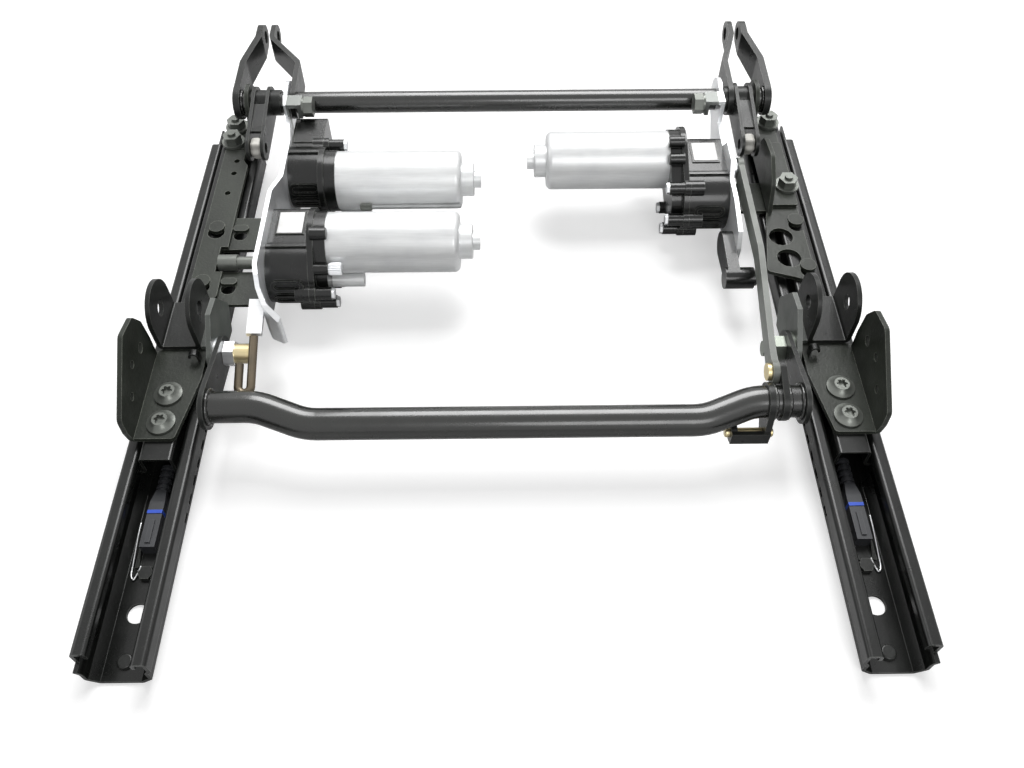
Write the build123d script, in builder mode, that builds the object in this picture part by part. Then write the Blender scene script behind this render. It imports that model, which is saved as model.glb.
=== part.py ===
from build123d import *
import os
from math import atan2, cos, degrees, radians, sin

# Powered seat frame: two floor rails, two sliding upper rails, a front and a rear torque tube with
# their lift arms, and three gear units with motors. Millimetres, +Z up, X across, +Y to the rear.
# The origin is on the floor, midway between the rails and midway along the whole frame.
# Each sided piece is modelled on the right, at positive X, and mirrored for the left.
os.makedirs("parts", exist_ok=True)

# Floor rails
rail_spacing = 422.0
rail_length = 420.0
rail_front = -256.0
lower_sheet = 2.0
lower_height = 27.0
lower_floor_half = 12.0
lower_wall_half = 18.5
lower_lip_half = 21.0
lower_corner_rise = 5.5
lip_foot = 16.5
lip_step = 3.0
lip_depth = 6.0
lip_mouth_half = 12.3
lip_setback = 6.0
lower_bend = 2.6
floor_bolt_hole = 12.0
floor_hole_inset = 39.0
wall_slot_length = 7.0
wall_slot_height = 3.0
wall_slot_z = 9.5
wall_slot_pitch = 13.0
wall_slot_count = 12
wall_slot_start = 96.0
rivet_inset = 11.0
rivet_diameter = 9.0
rivet_height = 2.5
floor_bolt_inset = 63.0
floor_bolt_head = 8.0
floor_bolt_height = 3.0

# Upper rails
upper_sheet = 1.6
upper_half = 10.0
upper_height = 31.0
upper_bend = 2.0
upper_front = -132.0
upper_length = 317.0
hook_bottom = 15.6
hook_half = 16.6
hook_top = 23.6

# Glides, lead screws, their nuts and end blocks inside the rails
glide_length = 36.0
glide_height = 4.0
glide_gap = 0.15
glide_inset = 30.0
screw_diameter = 9.0
screw_z = 22.5
screw_end_inset = 8.0
screw_running_gap = 0.05
nut_length = 22.0
nut_width = 13.0
nut_y = -74.0
nut_top = 28.0
block_length = 10.0
block_front_inset = 30.0
block_width = 14.0
block_bottom = 15.2

# Wiring plugs in front of the upper rails
plug_front = -180.0
plug_length = 30.0
plug_width = 9.0
plug_height = 9.0
plug_taper = 9.0
seal_length = 2.2
seal_stand = 0.5
seal_place = 22.0
boot_length = 18.0
boot_radius = 4.2
boot_core = 3.0
boot_ring = 2.0
boot_rings = 4
clip_sheet = 1.0
clip_width = 3.2
clip_length = 44.0
clip_tab = 9.0

# Front brackets with their fins and bolts
bracket_sheet = 3.0
bracket_front = -119.0
bracket_rear = -12.0
bracket_inner = 18.0
bracket_nose = 10.0
fin_half = 17.5
fin_rise = 51.0
fin_rear = -53.0
front_bolt_pitch = 21.5
front_bolt_inset = 11.5
front_bolt_head = 17.6
front_bolt_height = 4.6
front_bolt_grip = 5.5
torx_across = 6.8
torx_depth = 2.4
m8_shank = 8.0
hole_gap = 0.2

# Saddle brackets across the rails, and the pivot plates on their inner side
saddle_sheet = 3.0
saddle_y = -31.0
saddle_length = 38.0
saddle_half = 14.0
ear_height = 38.0
ear_hole = 10.0
pivot_plate_sheet = 3.2
pivot_plate_reach = 10.8
pivot_tab_radius = 13.0

# Front torque tube with its arms and pivot hardware
front_tube_diameter = 20.0
front_tube_wall = 2.5
front_pivot_y = -54.0
front_pivot_z = 34.0
front_tube_y = -101.0
front_tube_z = 41.0
front_tube_end_gap = 0.6
front_bend_start = 33.6
front_bend_run = 30.0
front_crank_forward = 10.0
front_crank_drop = 5.0
front_bend_radius = 40.0
front_arm_sheet = 3.0
front_arm_eye = 12.0
front_arm_hub = 14.0
pivot_shank = 10.0
pivot_stud_length = 19.0
pivot_washer_diameter = 21.0
pivot_washer_sheet = 2.0
pivot_nut_across = 15.0
pivot_nut_height = 6.8
pivot_running_gap = 0.05
bush_diameter = 13.0
bush_length = 9.5
side_gap = 0.2
hook_rod = 5.5
hook_spacing = 8.0
hook_turn_y = -80.0
hook_turn_z = 33.0
hook_lean = 22.0
hook_short_leg = 15.0
hook_long_leg = 33.2
lug_inset = 21.6
lug_plate = 4.0
lug_width = 24.0
lug_web = 3.0
lug_clear = 4.0
lug_pin_forward = 10.0
lug_pin_drop = 19.0
lug_pin_diameter = 6.0
lug_pin_reach = 3.0

# Coupling rod on the right side and the crank that drives it
rod_sheet = 4.0
rod_height = 13.0
rod_eye = 7.5
rod_pin = 8.0
rod_pin_head = 11.0
rod_pin_head_height = 2.4
rod_side_gap = 0.2
rod_inset = 17.4
rod_joggle = 7.8
rod_joggle_start = 9.5
rod_joggle_end = 100.0
rod_joggle_radius = 30.0
rod_lug_y = -85.0
rod_lug_z = 50.0
rod_open_gap = 0.6
crank_y = 132.0
crank_z = 36.0
crank_sheet = 3.6

# Rear torque tube with its arms, sleeves and crank channels
rear_tube_diameter = 16.0
rear_tube_wall = 2.5
rear_tube_y = 169.0
rear_tube_z = 62.0
rear_tube_stand = 1.0
rear_hub = 14.0
arm_hub = 12.0
arm_straight = 34.0
arm_joggle_radius = 8.0
outer_arm_sheet = 5.0
outer_arm_inset = 12.0
outer_arm_joggle = 7.5
clevis_y = 246.5
clevis_z = 68.0
clevis_radius = 9.5
clevis_straight = 3.0
clevis_hole = 10.0
clevis_gap = 6.0
inner_arm_sheet = 4.0
arm_side_gap = 0.6
arm_channel_gap = 0.4
sleeve_diameter = 19.0
sleeve_length = 21.6
sleeve_end_gap = 0.9
channel_sheet = 2.5
channel_inset = 1.4
channel_width = 13.2
channel_length = 46.0
channel_drop = 6.0
channel_eye = 9.0
channel_pin_hole = 8.0
weld_gap = 0.03
support_sheet = 3.0
support_inset = 19.5
support_front = 149.0
support_length = 35.0

# Top plates on the upper rails
top_sheet = 3.0
left_plate_inner = 15.0
plate_outer = 5.0
left_plate_front = -6.0
top_plate_rear = 148.0
notch_depth = 5.0
notch_length = 24.0
right_plate_inner = 28.0
right_plate_front = 8.0
right_plate_waist = 19.0
right_plate_tail = 15.0
cheek_inner = 18.0
cheek_front = 71.0
cheek_length = 72.0
cheek_rise = 33.0
cheek_corner = 12.0
rear_plate_front = 78.0
plate_hole = 17.0
lance_radius = 6.0
lance_shift = 2.6

# Carrier plates of the gear units
carrier_sheet = 3.0
left_carrier_inset = 49.6
left_carrier_waist = 5.6
left_carrier_top = 66.0
left_carrier_front = -39.0
right_carrier_inset = 48.0
right_carrier_top = 57.0
right_carrier_lobe = 68.0
right_carrier_front = 30.0
carrier_bend = 6.0
carrier_bottom = 14.0
carrier_eye = 16.0
tongue_width = 10.0
tongue_front = -48.0
tongue_rear = -24.0
tongue_top = 47.3
tongue_slope = 6.0
clamp_y = 153.0
clamp_top = 76.0
clamp_width = 12.0
clamp_depth = 26.0
clamp_leg = 12.0
clamp_reach = 11.4
clamp_bolt_z = 70.0
clamp_washer = 14.0
clamp_washer_sheet = 1.5
shelf_sheet = 2.8
nut_across = 13.0
nut_height = 6.5
flange_nut_diameter = 17.6
flange_nut_across = 12.0
flange_nut_height = 6.0
nut_flange = 2.0
shelf_lance_inset = 20.8
shelf_lug_length = 11.0
shelf_lug_width = 6.0
shelf_lug_height = 2.5
stud_diameter = 6.0
stud_rise = 10.0
support_nut_rear = 175.0
support_nut_front = 157.0
rear_plate_nut = 98.0

# Gear units and motors
drum_radius = 22.5
drum_length = 29.0
left_front_y = 20.5
left_front_z = 33.5
left_front_box = 40.0
left_front_motor = 34.0
left_rear_y = 107.0
left_rear_z = 42.0
left_rear_box = 45.0
left_rear_motor = 98.0
right_unit_y = 88.5
right_unit_z = 34.5
right_unit_box = 43.0
right_unit_motor = 118.0
motor_axis_z = 46.0
case_top = 22.0
case_top_rear = 20.0
housing_wall = 3.0
case_bottom = 20.0
pad_length = 22.0
pad_width = 20.0
pad_height = 0.8
rib_height = 1.6
rib_width = 2.2
rib_length = 22.0
rib_tilts = (-12, 18)
cover_thickness = 12.0
cover_flange = 4.0
cover_edge = 3.0
cover_core = 6.0
cover_boss = 5.5
boss_stand = 3.0
cover_screw_across = 7.0
cover_screw_height = 2.0
motor_radius = 21.0
motor_length = 90.0
motor_round = 4.0
pillar_radius = 5.0
pillar_length = 22.0
pillar_aside = 14.0
pillar_below = 22.5
cap_radius = 12.0
cap_length = 9.0
cap_boss_radius = 6.0
cap_boss_length = 5.0
shaft_diameter = 9.0
shaft_y = 27.0
shaft_z = 34.0
shaft_end_inset = 12.0
shaft_sleeve_diameter = 12.0
shaft_sleeve_length = 13.0
end_sleeve_y = 12.0
end_sleeve_z = 30.0
end_sleeve_diameter = 15.0
end_sleeve_length = 20.0
end_sleeve_lip = 2.0
end_arm_width = 8.0
end_arm_reach = 32.0
end_arm_foot = 10.0
spindle_diameter = 7.0
spindle_nut_diameter = 14.0
spindle_nut_height = 4.4

# Places worked out from the sizes above
rail_x = rail_spacing / 2
rail_rear = rail_front + rail_length
upper_rear = upper_front + upper_length
plate_top = upper_height + bracket_sheet
front_tube_radius = front_tube_diameter / 2
rear_tube_radius = rear_tube_diameter / 2
pivot_plate_place = rail_x - saddle_half - pivot_plate_reach
front_arm_place = pivot_plate_place - pivot_washer_sheet - side_gap - front_arm_sheet
front_tube_reach = pivot_plate_place - front_tube_end_gap
front_bend_outer = front_tube_reach - front_bend_start
front_bend_inner = front_bend_outer - front_bend_run
lug_place = front_arm_place - lug_inset
rod_front_place = front_arm_place - rod_inset
rod_rear_place = rod_front_place + rod_joggle
outer_arm_place = rail_x - outer_arm_inset
clevis_outer_place = outer_arm_place - outer_arm_joggle
rear_tube_reach = outer_arm_place + outer_arm_sheet + rear_tube_stand
support_place = rail_x - support_inset
sleeve_end = support_place - sleeve_end_gap
sleeve_start = sleeve_end - sleeve_length
channel_place = sleeve_end - channel_inset - channel_width
left_carrier_place = rail_x - left_carrier_inset
right_carrier_place = rail_x - right_carrier_inset
left_rear_outer = left_carrier_place - left_carrier_waist
inner_arm_left = left_carrier_place - arm_side_gap - inner_arm_sheet
inner_arm_right = channel_place - arm_channel_gap - inner_arm_sheet
shaft_outer = rail_x - shaft_end_inset


def keep(piece, name):
    """Label a finished piece and write it to its own file."""
    piece.label = name
    export_step(piece, f"parts/{name}.step")


def keep_pair(piece, name):
    """Write the right piece, and its mirror image as the left one."""
    keep(mirror(piece, about=Plane.YZ), name + "_left")
    keep(piece, name + "_right")


def keep_group(piece, name):
    """Write the right piece and its mirror image together, as separate solids."""
    keep(Compound(mirror(piece, about=Plane.YZ).solids() + piece.solids()), name)


def section_at(x, y):
    """A plane across the rails: its X is the frame's X and its Y is the frame's Z."""
    return Plane(origin=(x, y, 0), x_dir=(1, 0, 0), z_dir=(0, -1, 0))


def side_at(x):
    """A plane along the rails: its X is the frame's Y and its Y is the frame's Z."""
    return Plane.YZ.offset(x)


def both_halves(half):
    """A symmetric open path from the points of its right half."""
    return [(-x, z) for x, z in reversed(half)] + half


# Floor rails: flared channel with curled lips, wall slots and holes for the floor bolts
with BuildPart() as lower_rail:
    with BuildSketch(section_at(rail_x, rail_front)):
        with BuildLine():
            lower_path = FilletPolyline(
                both_halves(
                    [
                        (lower_floor_half, 0),
                        (lower_wall_half, lower_corner_rise),
                        (lower_wall_half, lip_foot - lip_step),
                        (lower_lip_half, lip_foot),
                        (lower_lip_half, lower_height),
                        (lip_mouth_half, lower_height),
                        (lip_mouth_half, lower_height - lip_depth),
                    ]
                ),
                radius=lower_bend,
            )
            offset(lower_path, amount=lower_sheet, side=Side.LEFT)
        make_face()
    extrude(amount=-rail_length)
    with BuildSketch(Plane.XY):
        with Locations((rail_x, rail_front + floor_hole_inset), (rail_x, rail_rear - floor_hole_inset)):
            Circle(floor_bolt_hole / 2)
    extrude(amount=lower_sheet, mode=Mode.SUBTRACT)
    slot_middle = rail_front + wall_slot_start + wall_slot_pitch * (wall_slot_count - 1) / 2
    with BuildSketch(side_at(rail_x - lower_wall_half)):
        with Locations((slot_middle, wall_slot_z)):
            with GridLocations(wall_slot_pitch, 1, wall_slot_count, 1):
                Rectangle(wall_slot_length, wall_slot_height)
    extrude(amount=lower_sheet, mode=Mode.SUBTRACT)
    with BuildSketch(Plane.XY.offset(lip_foot)):
        with Locations((rail_x + lower_lip_half, rail_front)):
            Rectangle(2 * (lower_lip_half - lip_mouth_half) + 2, 2 * lip_setback)
    extrude(amount=lower_height, mode=Mode.SUBTRACT)
keep_pair(lower_rail.part, "lower_rail")

# Domed rivets and small hexagon bolts in the rail floors
with BuildPart() as floor_fasteners:
    for side in (-1, 1):
        with Locations((side * rail_x, rail_front + rivet_inset, lower_sheet)):
            Cylinder(
                rivet_diameter / 2,
                rivet_height,
                align=(Align.CENTER, Align.CENTER, Align.MIN),
            )
        with BuildSketch(Plane.XY.offset(lower_sheet)):
            with Locations((side * rail_x, rail_front + floor_bolt_inset)):
                RegularPolygon(floor_bolt_head / 2, 6, major_radius=False)
        extrude(amount=floor_bolt_height)
    rivet_rims = floor_fasteners.faces().filter_by(Axis.Z).group_by(Axis.Z)[-2].edges()
    fillet(rivet_rims.filter_by(GeomType.CIRCLE), radius=rivet_height / 2)
keep(floor_fasteners.part, "floor_fasteners")

# Upper rails: inverted channel whose flanges hook up behind the lips of the floor rails
with BuildPart() as upper_rail:
    with BuildSketch(section_at(rail_x, upper_front)):
        with BuildLine():
            upper_path = FilletPolyline(
                both_halves(
                    [
                        (upper_half, upper_height),
                        (upper_half, hook_bottom + upper_sheet),
                        (hook_half - upper_sheet, hook_bottom + upper_sheet),
                        (hook_half - upper_sheet, hook_top),
                    ]
                ),
                radius=upper_bend,
            )
            offset(upper_path, amount=upper_sheet, side=Side.RIGHT)
        make_face()
    extrude(amount=-upper_length)
    with BuildSketch(Plane.XY.offset(upper_height)):
        with Locations((rail_x, bracket_front + front_bolt_inset + front_bolt_pitch / 2)):
            with GridLocations(1, front_bolt_pitch, 1, 2):
                Circle(m8_shank / 2 + hole_gap)
    extrude(amount=-2 * upper_sheet, mode=Mode.SUBTRACT)
keep_pair(upper_rail.part, "upper_rail")

# Plastic glides between the hooked flanges and the flared walls
glide_width = lower_lip_half - lower_sheet - hook_half - glide_gap
with BuildPart() as slide_glides:
    for side in (-1, 1):
        for glide_y in (upper_front + glide_inset, rail_rear - glide_inset):
            with Locations((rail_x + side * (hook_half + glide_width / 2), glide_y, hook_top - 0.8)):
                Box(
                    glide_width,
                    glide_length,
                    glide_height,
                    align=(Align.CENTER, Align.CENTER, Align.MAX),
                )
keep_group(slide_glides.part, "slide_glides")

# Lead screws with a plain core, their nuts on the rail floor and their end blocks
with BuildPart() as lead_screw:
    with BuildSketch(section_at(rail_x, upper_front + screw_end_inset)):
        with Locations((0, screw_z)):
            Circle(screw_diameter / 2)
    extrude(amount=-(upper_length - 2 * screw_end_inset))
    chamfer(lead_screw.edges().filter_by(GeomType.CIRCLE), length=1)
keep_pair(lead_screw.part, "lead_screw")

with BuildPart() as lead_nut:
    with BuildSketch(section_at(rail_x, nut_y - nut_length / 2)):
        with Locations((0, lower_sheet)):
            Rectangle(nut_width, nut_top - lower_sheet, align=(Align.CENTER, Align.MIN))
        with Locations((0, screw_z)):
            Circle(screw_diameter / 2 + screw_running_gap, mode=Mode.SUBTRACT)
    extrude(amount=-nut_length)
keep_group(lead_nut.part, "lead_nuts")

with BuildPart() as screw_blocks:
    for block_y in (upper_front + block_front_inset, upper_rear - 2 * screw_end_inset - block_length):
        with BuildSketch(section_at(rail_x, block_y)):
            with Locations((0, block_bottom)):
                Rectangle(
                    block_width,
                    upper_height - upper_sheet - block_bottom,
                    align=(Align.CENTER, Align.MIN),
                )
            with Locations((0, screw_z)):
                Circle(screw_diameter / 2 + screw_running_gap, mode=Mode.SUBTRACT)
        extrude(amount=-block_length)
keep_group(screw_blocks.part, "screw_blocks")

# Wiring plugs: tapered body with a latch ridge, a coloured seal, a ribbed boot and a spring clip
plug_floor = lower_sheet + clip_sheet
plug_rear = plug_front + plug_length
plug_middle = plug_floor + plug_height / 2
with BuildPart() as plug_body:
    with BuildSketch(section_at(rail_x, plug_front)):
        with Locations((0, plug_floor)):
            Rectangle(plug_width, plug_height, align=(Align.CENTER, Align.MIN))
    extrude(amount=-plug_length)
    with BuildSketch(section_at(rail_x, plug_rear)):
        with Locations((0, plug_middle)):
            Rectangle(plug_width, plug_height)
    with BuildSketch(section_at(rail_x, plug_rear + plug_taper)):
        with Locations((0, plug_middle)):
            Rectangle(2 * boot_core, 2 * boot_core)
    loft()
    with BuildSketch(Plane.XY.offset(plug_floor + plug_height)):
        with Locations((rail_x, plug_front + plug_length / 3)):
            Rectangle(plug_width / 3, plug_length / 2)
    extrude(amount=1)
    with BuildSketch(section_at(rail_x, plug_front + seal_place)):
        with Locations((0, plug_middle)):
            Rectangle(plug_width, plug_height)
            Rectangle(plug_width - 2, plug_height - 2, mode=Mode.SUBTRACT)
    extrude(amount=-seal_length, mode=Mode.SUBTRACT)
keep_group(plug_body.part, "plug_bodies")

with BuildPart() as plug_seal:
    with BuildSketch(section_at(rail_x, plug_front + seal_place)):
        with Locations((0, plug_floor)):
            Rectangle(plug_width, plug_height + seal_stand, align=(Align.CENTER, Align.MIN))
        with Locations((0, plug_middle)):
            Rectangle(plug_width - 2, plug_height - 2, mode=Mode.SUBTRACT)
    extrude(amount=-seal_length)
keep_group(plug_seal.part, "plug_seals")

with BuildPart() as plug_boot:
    with BuildSketch(section_at(rail_x, plug_rear + plug_taper)):
        with Locations((0, plug_middle)):
            Circle(boot_core)
    extrude(amount=-boot_length)
    for ring in range(boot_rings):
        ring_y = plug_rear + plug_taper + (ring + 0.5) * boot_length / boot_rings - boot_ring / 2
        with BuildSketch(section_at(rail_x, ring_y)):
            with Locations((0, plug_middle)):
                Circle(boot_radius)
        extrude(amount=-boot_ring)
keep_group(plug_boot.part, "plug_boots")

with BuildPart() as plug_clip:
    with BuildSketch(side_at(rail_x - plug_width / 2 - clip_width)):
        with BuildLine():
            clip_path = Polyline(
                (plug_front - clip_tab, lower_sheet),
                (plug_front + clip_length - clip_tab, lower_sheet),
            )
            offset(clip_path, amount=clip_sheet, side=Side.LEFT)
        make_face()
    extrude(amount=plug_width + 2 * clip_width)
    with BuildSketch(side_at(rail_x + plug_width / 2 + hole_gap)):
        with BuildLine():
            Polyline(
                (plug_front - clip_tab, plug_floor),
                (plug_rear, plug_floor),
                (plug_rear, plug_floor + plug_height / 2),
                (plug_front, plug_floor + plug_height / 2),
                (plug_front - clip_tab, plug_floor + 1),
                close=True,
            )
        make_face()
    extrude(amount=clip_sheet)
keep_group(plug_clip.part, "plug_clips")

# Front brackets: flat foot on the upper rail, folded up at the outer side into a pierced fin
fin_outer = rail_x + fin_half
with BuildPart() as front_bracket:
    with BuildSketch(Plane.XY.offset(upper_height)) as foot:
        with BuildLine():
            Polyline(
                (rail_x - bracket_nose, bracket_front),
                (fin_outer, bracket_front),
                (fin_outer, fin_rear),
                (rail_x + bracket_nose, fin_rear + 4),
                (rail_x + bracket_nose, bracket_rear),
                (rail_x - bracket_inner, bracket_rear),
                (rail_x - bracket_inner, bracket_front + 45),
                close=True,
            )
        make_face()
        fillet(foot.vertices().filter_by(lambda v: v.X < fin_outer - 1), radius=2.5)
    extrude(amount=bracket_sheet)
    with BuildSketch(side_at(fin_outer)) as fin:
        with BuildLine():
            Polyline(
                (bracket_front, upper_height),
                (bracket_front - 2, upper_height + 12),
                (bracket_front - 1, upper_height + 23),
                (bracket_front + 41, upper_height + fin_rise),
                (fin_rear - 7, upper_height + fin_rise - 4),
                (fin_rear, upper_height + fin_rise - 16),
                (fin_rear + 1, upper_height + 18),
                (fin_rear, upper_height),
                close=True,
            )
        make_face()
        fillet(fin.vertices().group_by(Axis.Y)[1:], radius=5)
        with Locations((bracket_front + 20, upper_height + 19), (bracket_front + 36, upper_height + 30)):
            Circle(2.6, mode=Mode.SUBTRACT)
        with Locations((bracket_front + 52, upper_height + 26)):
            Circle(3.4, mode=Mode.SUBTRACT)
    extrude(amount=-bracket_sheet)
    bend_edges = front_bracket.edges().filter_by(Axis.Y)
    outer_bend = bend_edges.filter_by(
        lambda e: abs(e.center().X - fin_outer) < 0.1 and abs(e.center().Z - upper_height) < 0.1
    )
    fillet(outer_bend, radius=bracket_sheet - 0.2)
    with Locations(Plane.XY.offset(plate_top)):
        with Locations((rail_x, bracket_front + front_bolt_inset + front_bolt_pitch / 2)):
            with GridLocations(1, front_bolt_pitch, 1, 2):
                Hole(m8_shank / 2 + hole_gap)
keep_group(front_bracket.part, "front_brackets")

# Front bracket bolts: low domed heads with a six-lobed drive
with BuildPart() as front_bolts:
    for side in (-1, 1):
        for place in range(2):
            bolt_y = bracket_front + front_bolt_inset + place * front_bolt_pitch
            with BuildSketch(Plane.XZ.offset(-bolt_y)):
                with BuildLine():
                    Polyline(
                        (side * rail_x, plate_top - front_bolt_grip),
                        (side * rail_x + m8_shank / 2, plate_top - front_bolt_grip),
                        (side * rail_x + m8_shank / 2, plate_top),
                        (side * rail_x + front_bolt_head / 2, plate_top),
                        (side * rail_x + front_bolt_head / 2, plate_top + 1.4),
                    )
                    ThreePointArc(
                        (side * rail_x + front_bolt_head / 2, plate_top + 1.4),
                        (side * rail_x + front_bolt_head * 0.32, plate_top + front_bolt_height - 1.0),
                        (side * rail_x + torx_across * 0.7, plate_top + front_bolt_height),
                    )
                    Polyline(
                        (side * rail_x + torx_across * 0.7, plate_top + front_bolt_height),
                        (side * rail_x, plate_top + front_bolt_height),
                        (side * rail_x, plate_top - front_bolt_grip),
                    )
                make_face()
            revolve(axis=Axis((side * rail_x, bolt_y, 0), (0, 0, 1)))
            with BuildSketch(Plane.XY.offset(plate_top + front_bolt_height)):
                with Locations((side * rail_x, bolt_y)):
                    Circle(torx_across * 0.36)
                    with PolarLocations(torx_across * 0.36, 6):
                        Circle(torx_across * 0.14)
            extrude(amount=-torx_depth, mode=Mode.SUBTRACT)
keep(front_bolts.part, "front_bolts")

# Saddle brackets: a base across the front bracket with a rounded ear on each side
with BuildPart() as saddle:
    with BuildSketch(section_at(rail_x, saddle_y - saddle_length / 2)):
        with BuildLine():
            saddle_path = FilletPolyline(
                both_halves([(saddle_half, plate_top), (saddle_half, plate_top + ear_height)]),
                radius=saddle_sheet + 1,
            )
            offset(saddle_path, amount=saddle_sheet, side=Side.LEFT)
        make_face()
    extrude(amount=-saddle_length)
    with BuildSketch(side_at(rail_x - saddle_half)):
        with Locations((saddle_y, plate_top)):
            Rectangle(saddle_length, ear_height - saddle_length / 2, align=(Align.CENTER, Align.MIN))
        with Locations((saddle_y, plate_top + ear_height - saddle_length / 2)):
            Circle(saddle_length / 2)
            Circle(ear_hole / 2, mode=Mode.SUBTRACT)
    extrude(amount=2 * saddle_half, mode=Mode.INTERSECT)
keep_group(saddle.part, "saddle_brackets")

# Pivot plates: a tab over the rail's edge and a hanging plate with the front pivot
with BuildPart() as pivot_plate:
    with BuildSketch(side_at(pivot_plate_place)):
        with BuildLine():
            Polyline(
                (saddle_y - 12, plate_top + 26),
                (saddle_y + 4, plate_top + 24),
                (saddle_y + saddle_length / 2, plate_top + saddle_sheet),
                (saddle_y + saddle_length / 2, plate_top),
                (saddle_y + 10, plate_top - 16),
                (front_pivot_y, front_pivot_z - pivot_tab_radius),
                (front_pivot_y - 8, front_pivot_z + 10),
                close=True,
            )
        make_face()
        with Locations((front_pivot_y, front_pivot_z)):
            Circle(pivot_tab_radius)
    extrude(amount=pivot_plate_sheet)
    with BuildSketch(Plane.XY.offset(plate_top)):
        with Locations((rail_x - saddle_half, saddle_y)):
            Rectangle(
                rail_x - saddle_half - pivot_plate_place,
                saddle_length,
                align=(Align.MAX, Align.CENTER),
            )
    extrude(amount=saddle_sheet)
keep_group(pivot_plate.part, "pivot_plates")

# Front pivots: a washer against the plate, and a stud with its hexagon nut
arm_inner = front_arm_place
washer_inner = pivot_plate_place - pivot_washer_sheet
with BuildPart() as pivot_washers:
    with BuildSketch(side_at(washer_inner)):
        with Locations((front_pivot_y, front_pivot_z)):
            Circle(pivot_washer_diameter / 2)
            Circle(pivot_shank / 2 + hole_gap, mode=Mode.SUBTRACT)
    extrude(amount=pivot_washer_sheet)
keep_group(pivot_washers.part, "pivot_washers")

with BuildPart() as pivot_stud:
    with BuildSketch(side_at(pivot_plate_place)):
        with Locations((front_pivot_y, front_pivot_z)):
            Circle(pivot_shank / 2)
    extrude(amount=-pivot_stud_length)
    with BuildSketch(side_at(arm_inner - side_gap)):
        with Locations((front_pivot_y, front_pivot_z)):
            RegularPolygon(pivot_nut_across / 2, 6, major_radius=False)
    extrude(amount=-pivot_nut_height)
keep_group(pivot_stud.part, "pivot_studs")

# Plated bush on the left stud, and the bent rod hook welded to the left carrier plate
bush_outer = arm_inner - side_gap - pivot_nut_height
with BuildPart() as pivot_bush:
    with BuildSketch(side_at(-bush_outer)):
        with Locations((front_pivot_y, front_pivot_z)):
            Circle(bush_diameter / 2)
            Circle(pivot_shank / 2 + hole_gap, mode=Mode.SUBTRACT)
    extrude(amount=bush_length)
keep(pivot_bush.part, "pivot_bush")

hook_inner = -(left_rear_outer + tongue_width / 2)
hook_outer = hook_inner - hook_spacing
hook_along = (cos(radians(hook_lean)), sin(radians(hook_lean)))
hook_turn_outer = (hook_outer, hook_turn_y, hook_turn_z)
hook_turn_inner = (hook_inner, hook_turn_y, hook_turn_z)


def up_hook(x, distance):
    """A point at a distance up the leaning plane of the hook from its turn."""
    return (x, hook_turn_y + distance * hook_along[0], hook_turn_z + distance * hook_along[1])


with BuildPart() as rod_hook:
    with BuildLine() as hook_path:
        Line(up_hook(hook_outer, hook_short_leg), hook_turn_outer)
        ThreePointArc(
            hook_turn_outer,
            up_hook(hook_inner - hook_spacing / 2, -hook_spacing / 2),
            hook_turn_inner,
        )
        Line(hook_turn_inner, up_hook(hook_inner, hook_long_leg))
    hook_wire = hook_path.wires()[0]
    with BuildSketch(Plane(origin=hook_wire @ 0, z_dir=hook_wire % 0)):
        Circle(hook_rod / 2)
    sweep()
keep(rod_hook.part, "rod_hook")

# Front torque tube, cranked forwards and down between the arms
crank_reach = (front_crank_forward**2 + front_crank_drop**2) ** 0.5
tube_plane = Plane(
    origin=(0, front_tube_y, front_tube_z),
    x_dir=(1, 0, 0),
    z_dir=(0, front_crank_drop, -front_crank_forward),
)
with BuildPart() as front_tube:
    with BuildLine(tube_plane):
        FilletPolyline(
            (-front_tube_reach, 0),
            (-front_bend_outer, 0),
            (-front_bend_inner, crank_reach),
            (front_bend_inner, crank_reach),
            (front_bend_outer, 0),
            (front_tube_reach, 0),
            radius=front_bend_radius,
        )
    with BuildSketch(side_at(-front_tube_reach)):
        with Locations((front_tube_y, front_tube_z)):
            Circle(front_tube_radius)
            Circle(front_tube_radius - front_tube_wall, mode=Mode.SUBTRACT)
    sweep()
keep(front_tube.part, "front_torque_tube")

# Front lift arms from the pivots to the tube ends
with BuildPart() as front_arm:
    with BuildSketch(side_at(front_arm_place)):
        with Locations((front_pivot_y, front_pivot_z)):
            Circle(front_arm_eye)
        with Locations((front_tube_y, front_tube_z)):
            Circle(front_arm_hub)
        make_hull()
        with Locations((front_pivot_y, front_pivot_z)):
            Circle(pivot_shank / 2 + pivot_running_gap, mode=Mode.SUBTRACT)
        with Locations((front_tube_y, front_tube_z)):
            Circle(front_tube_radius + weld_gap, mode=Mode.SUBTRACT)
    extrude(amount=front_arm_sheet)
keep_group(front_arm.part, "front_arms")

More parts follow.
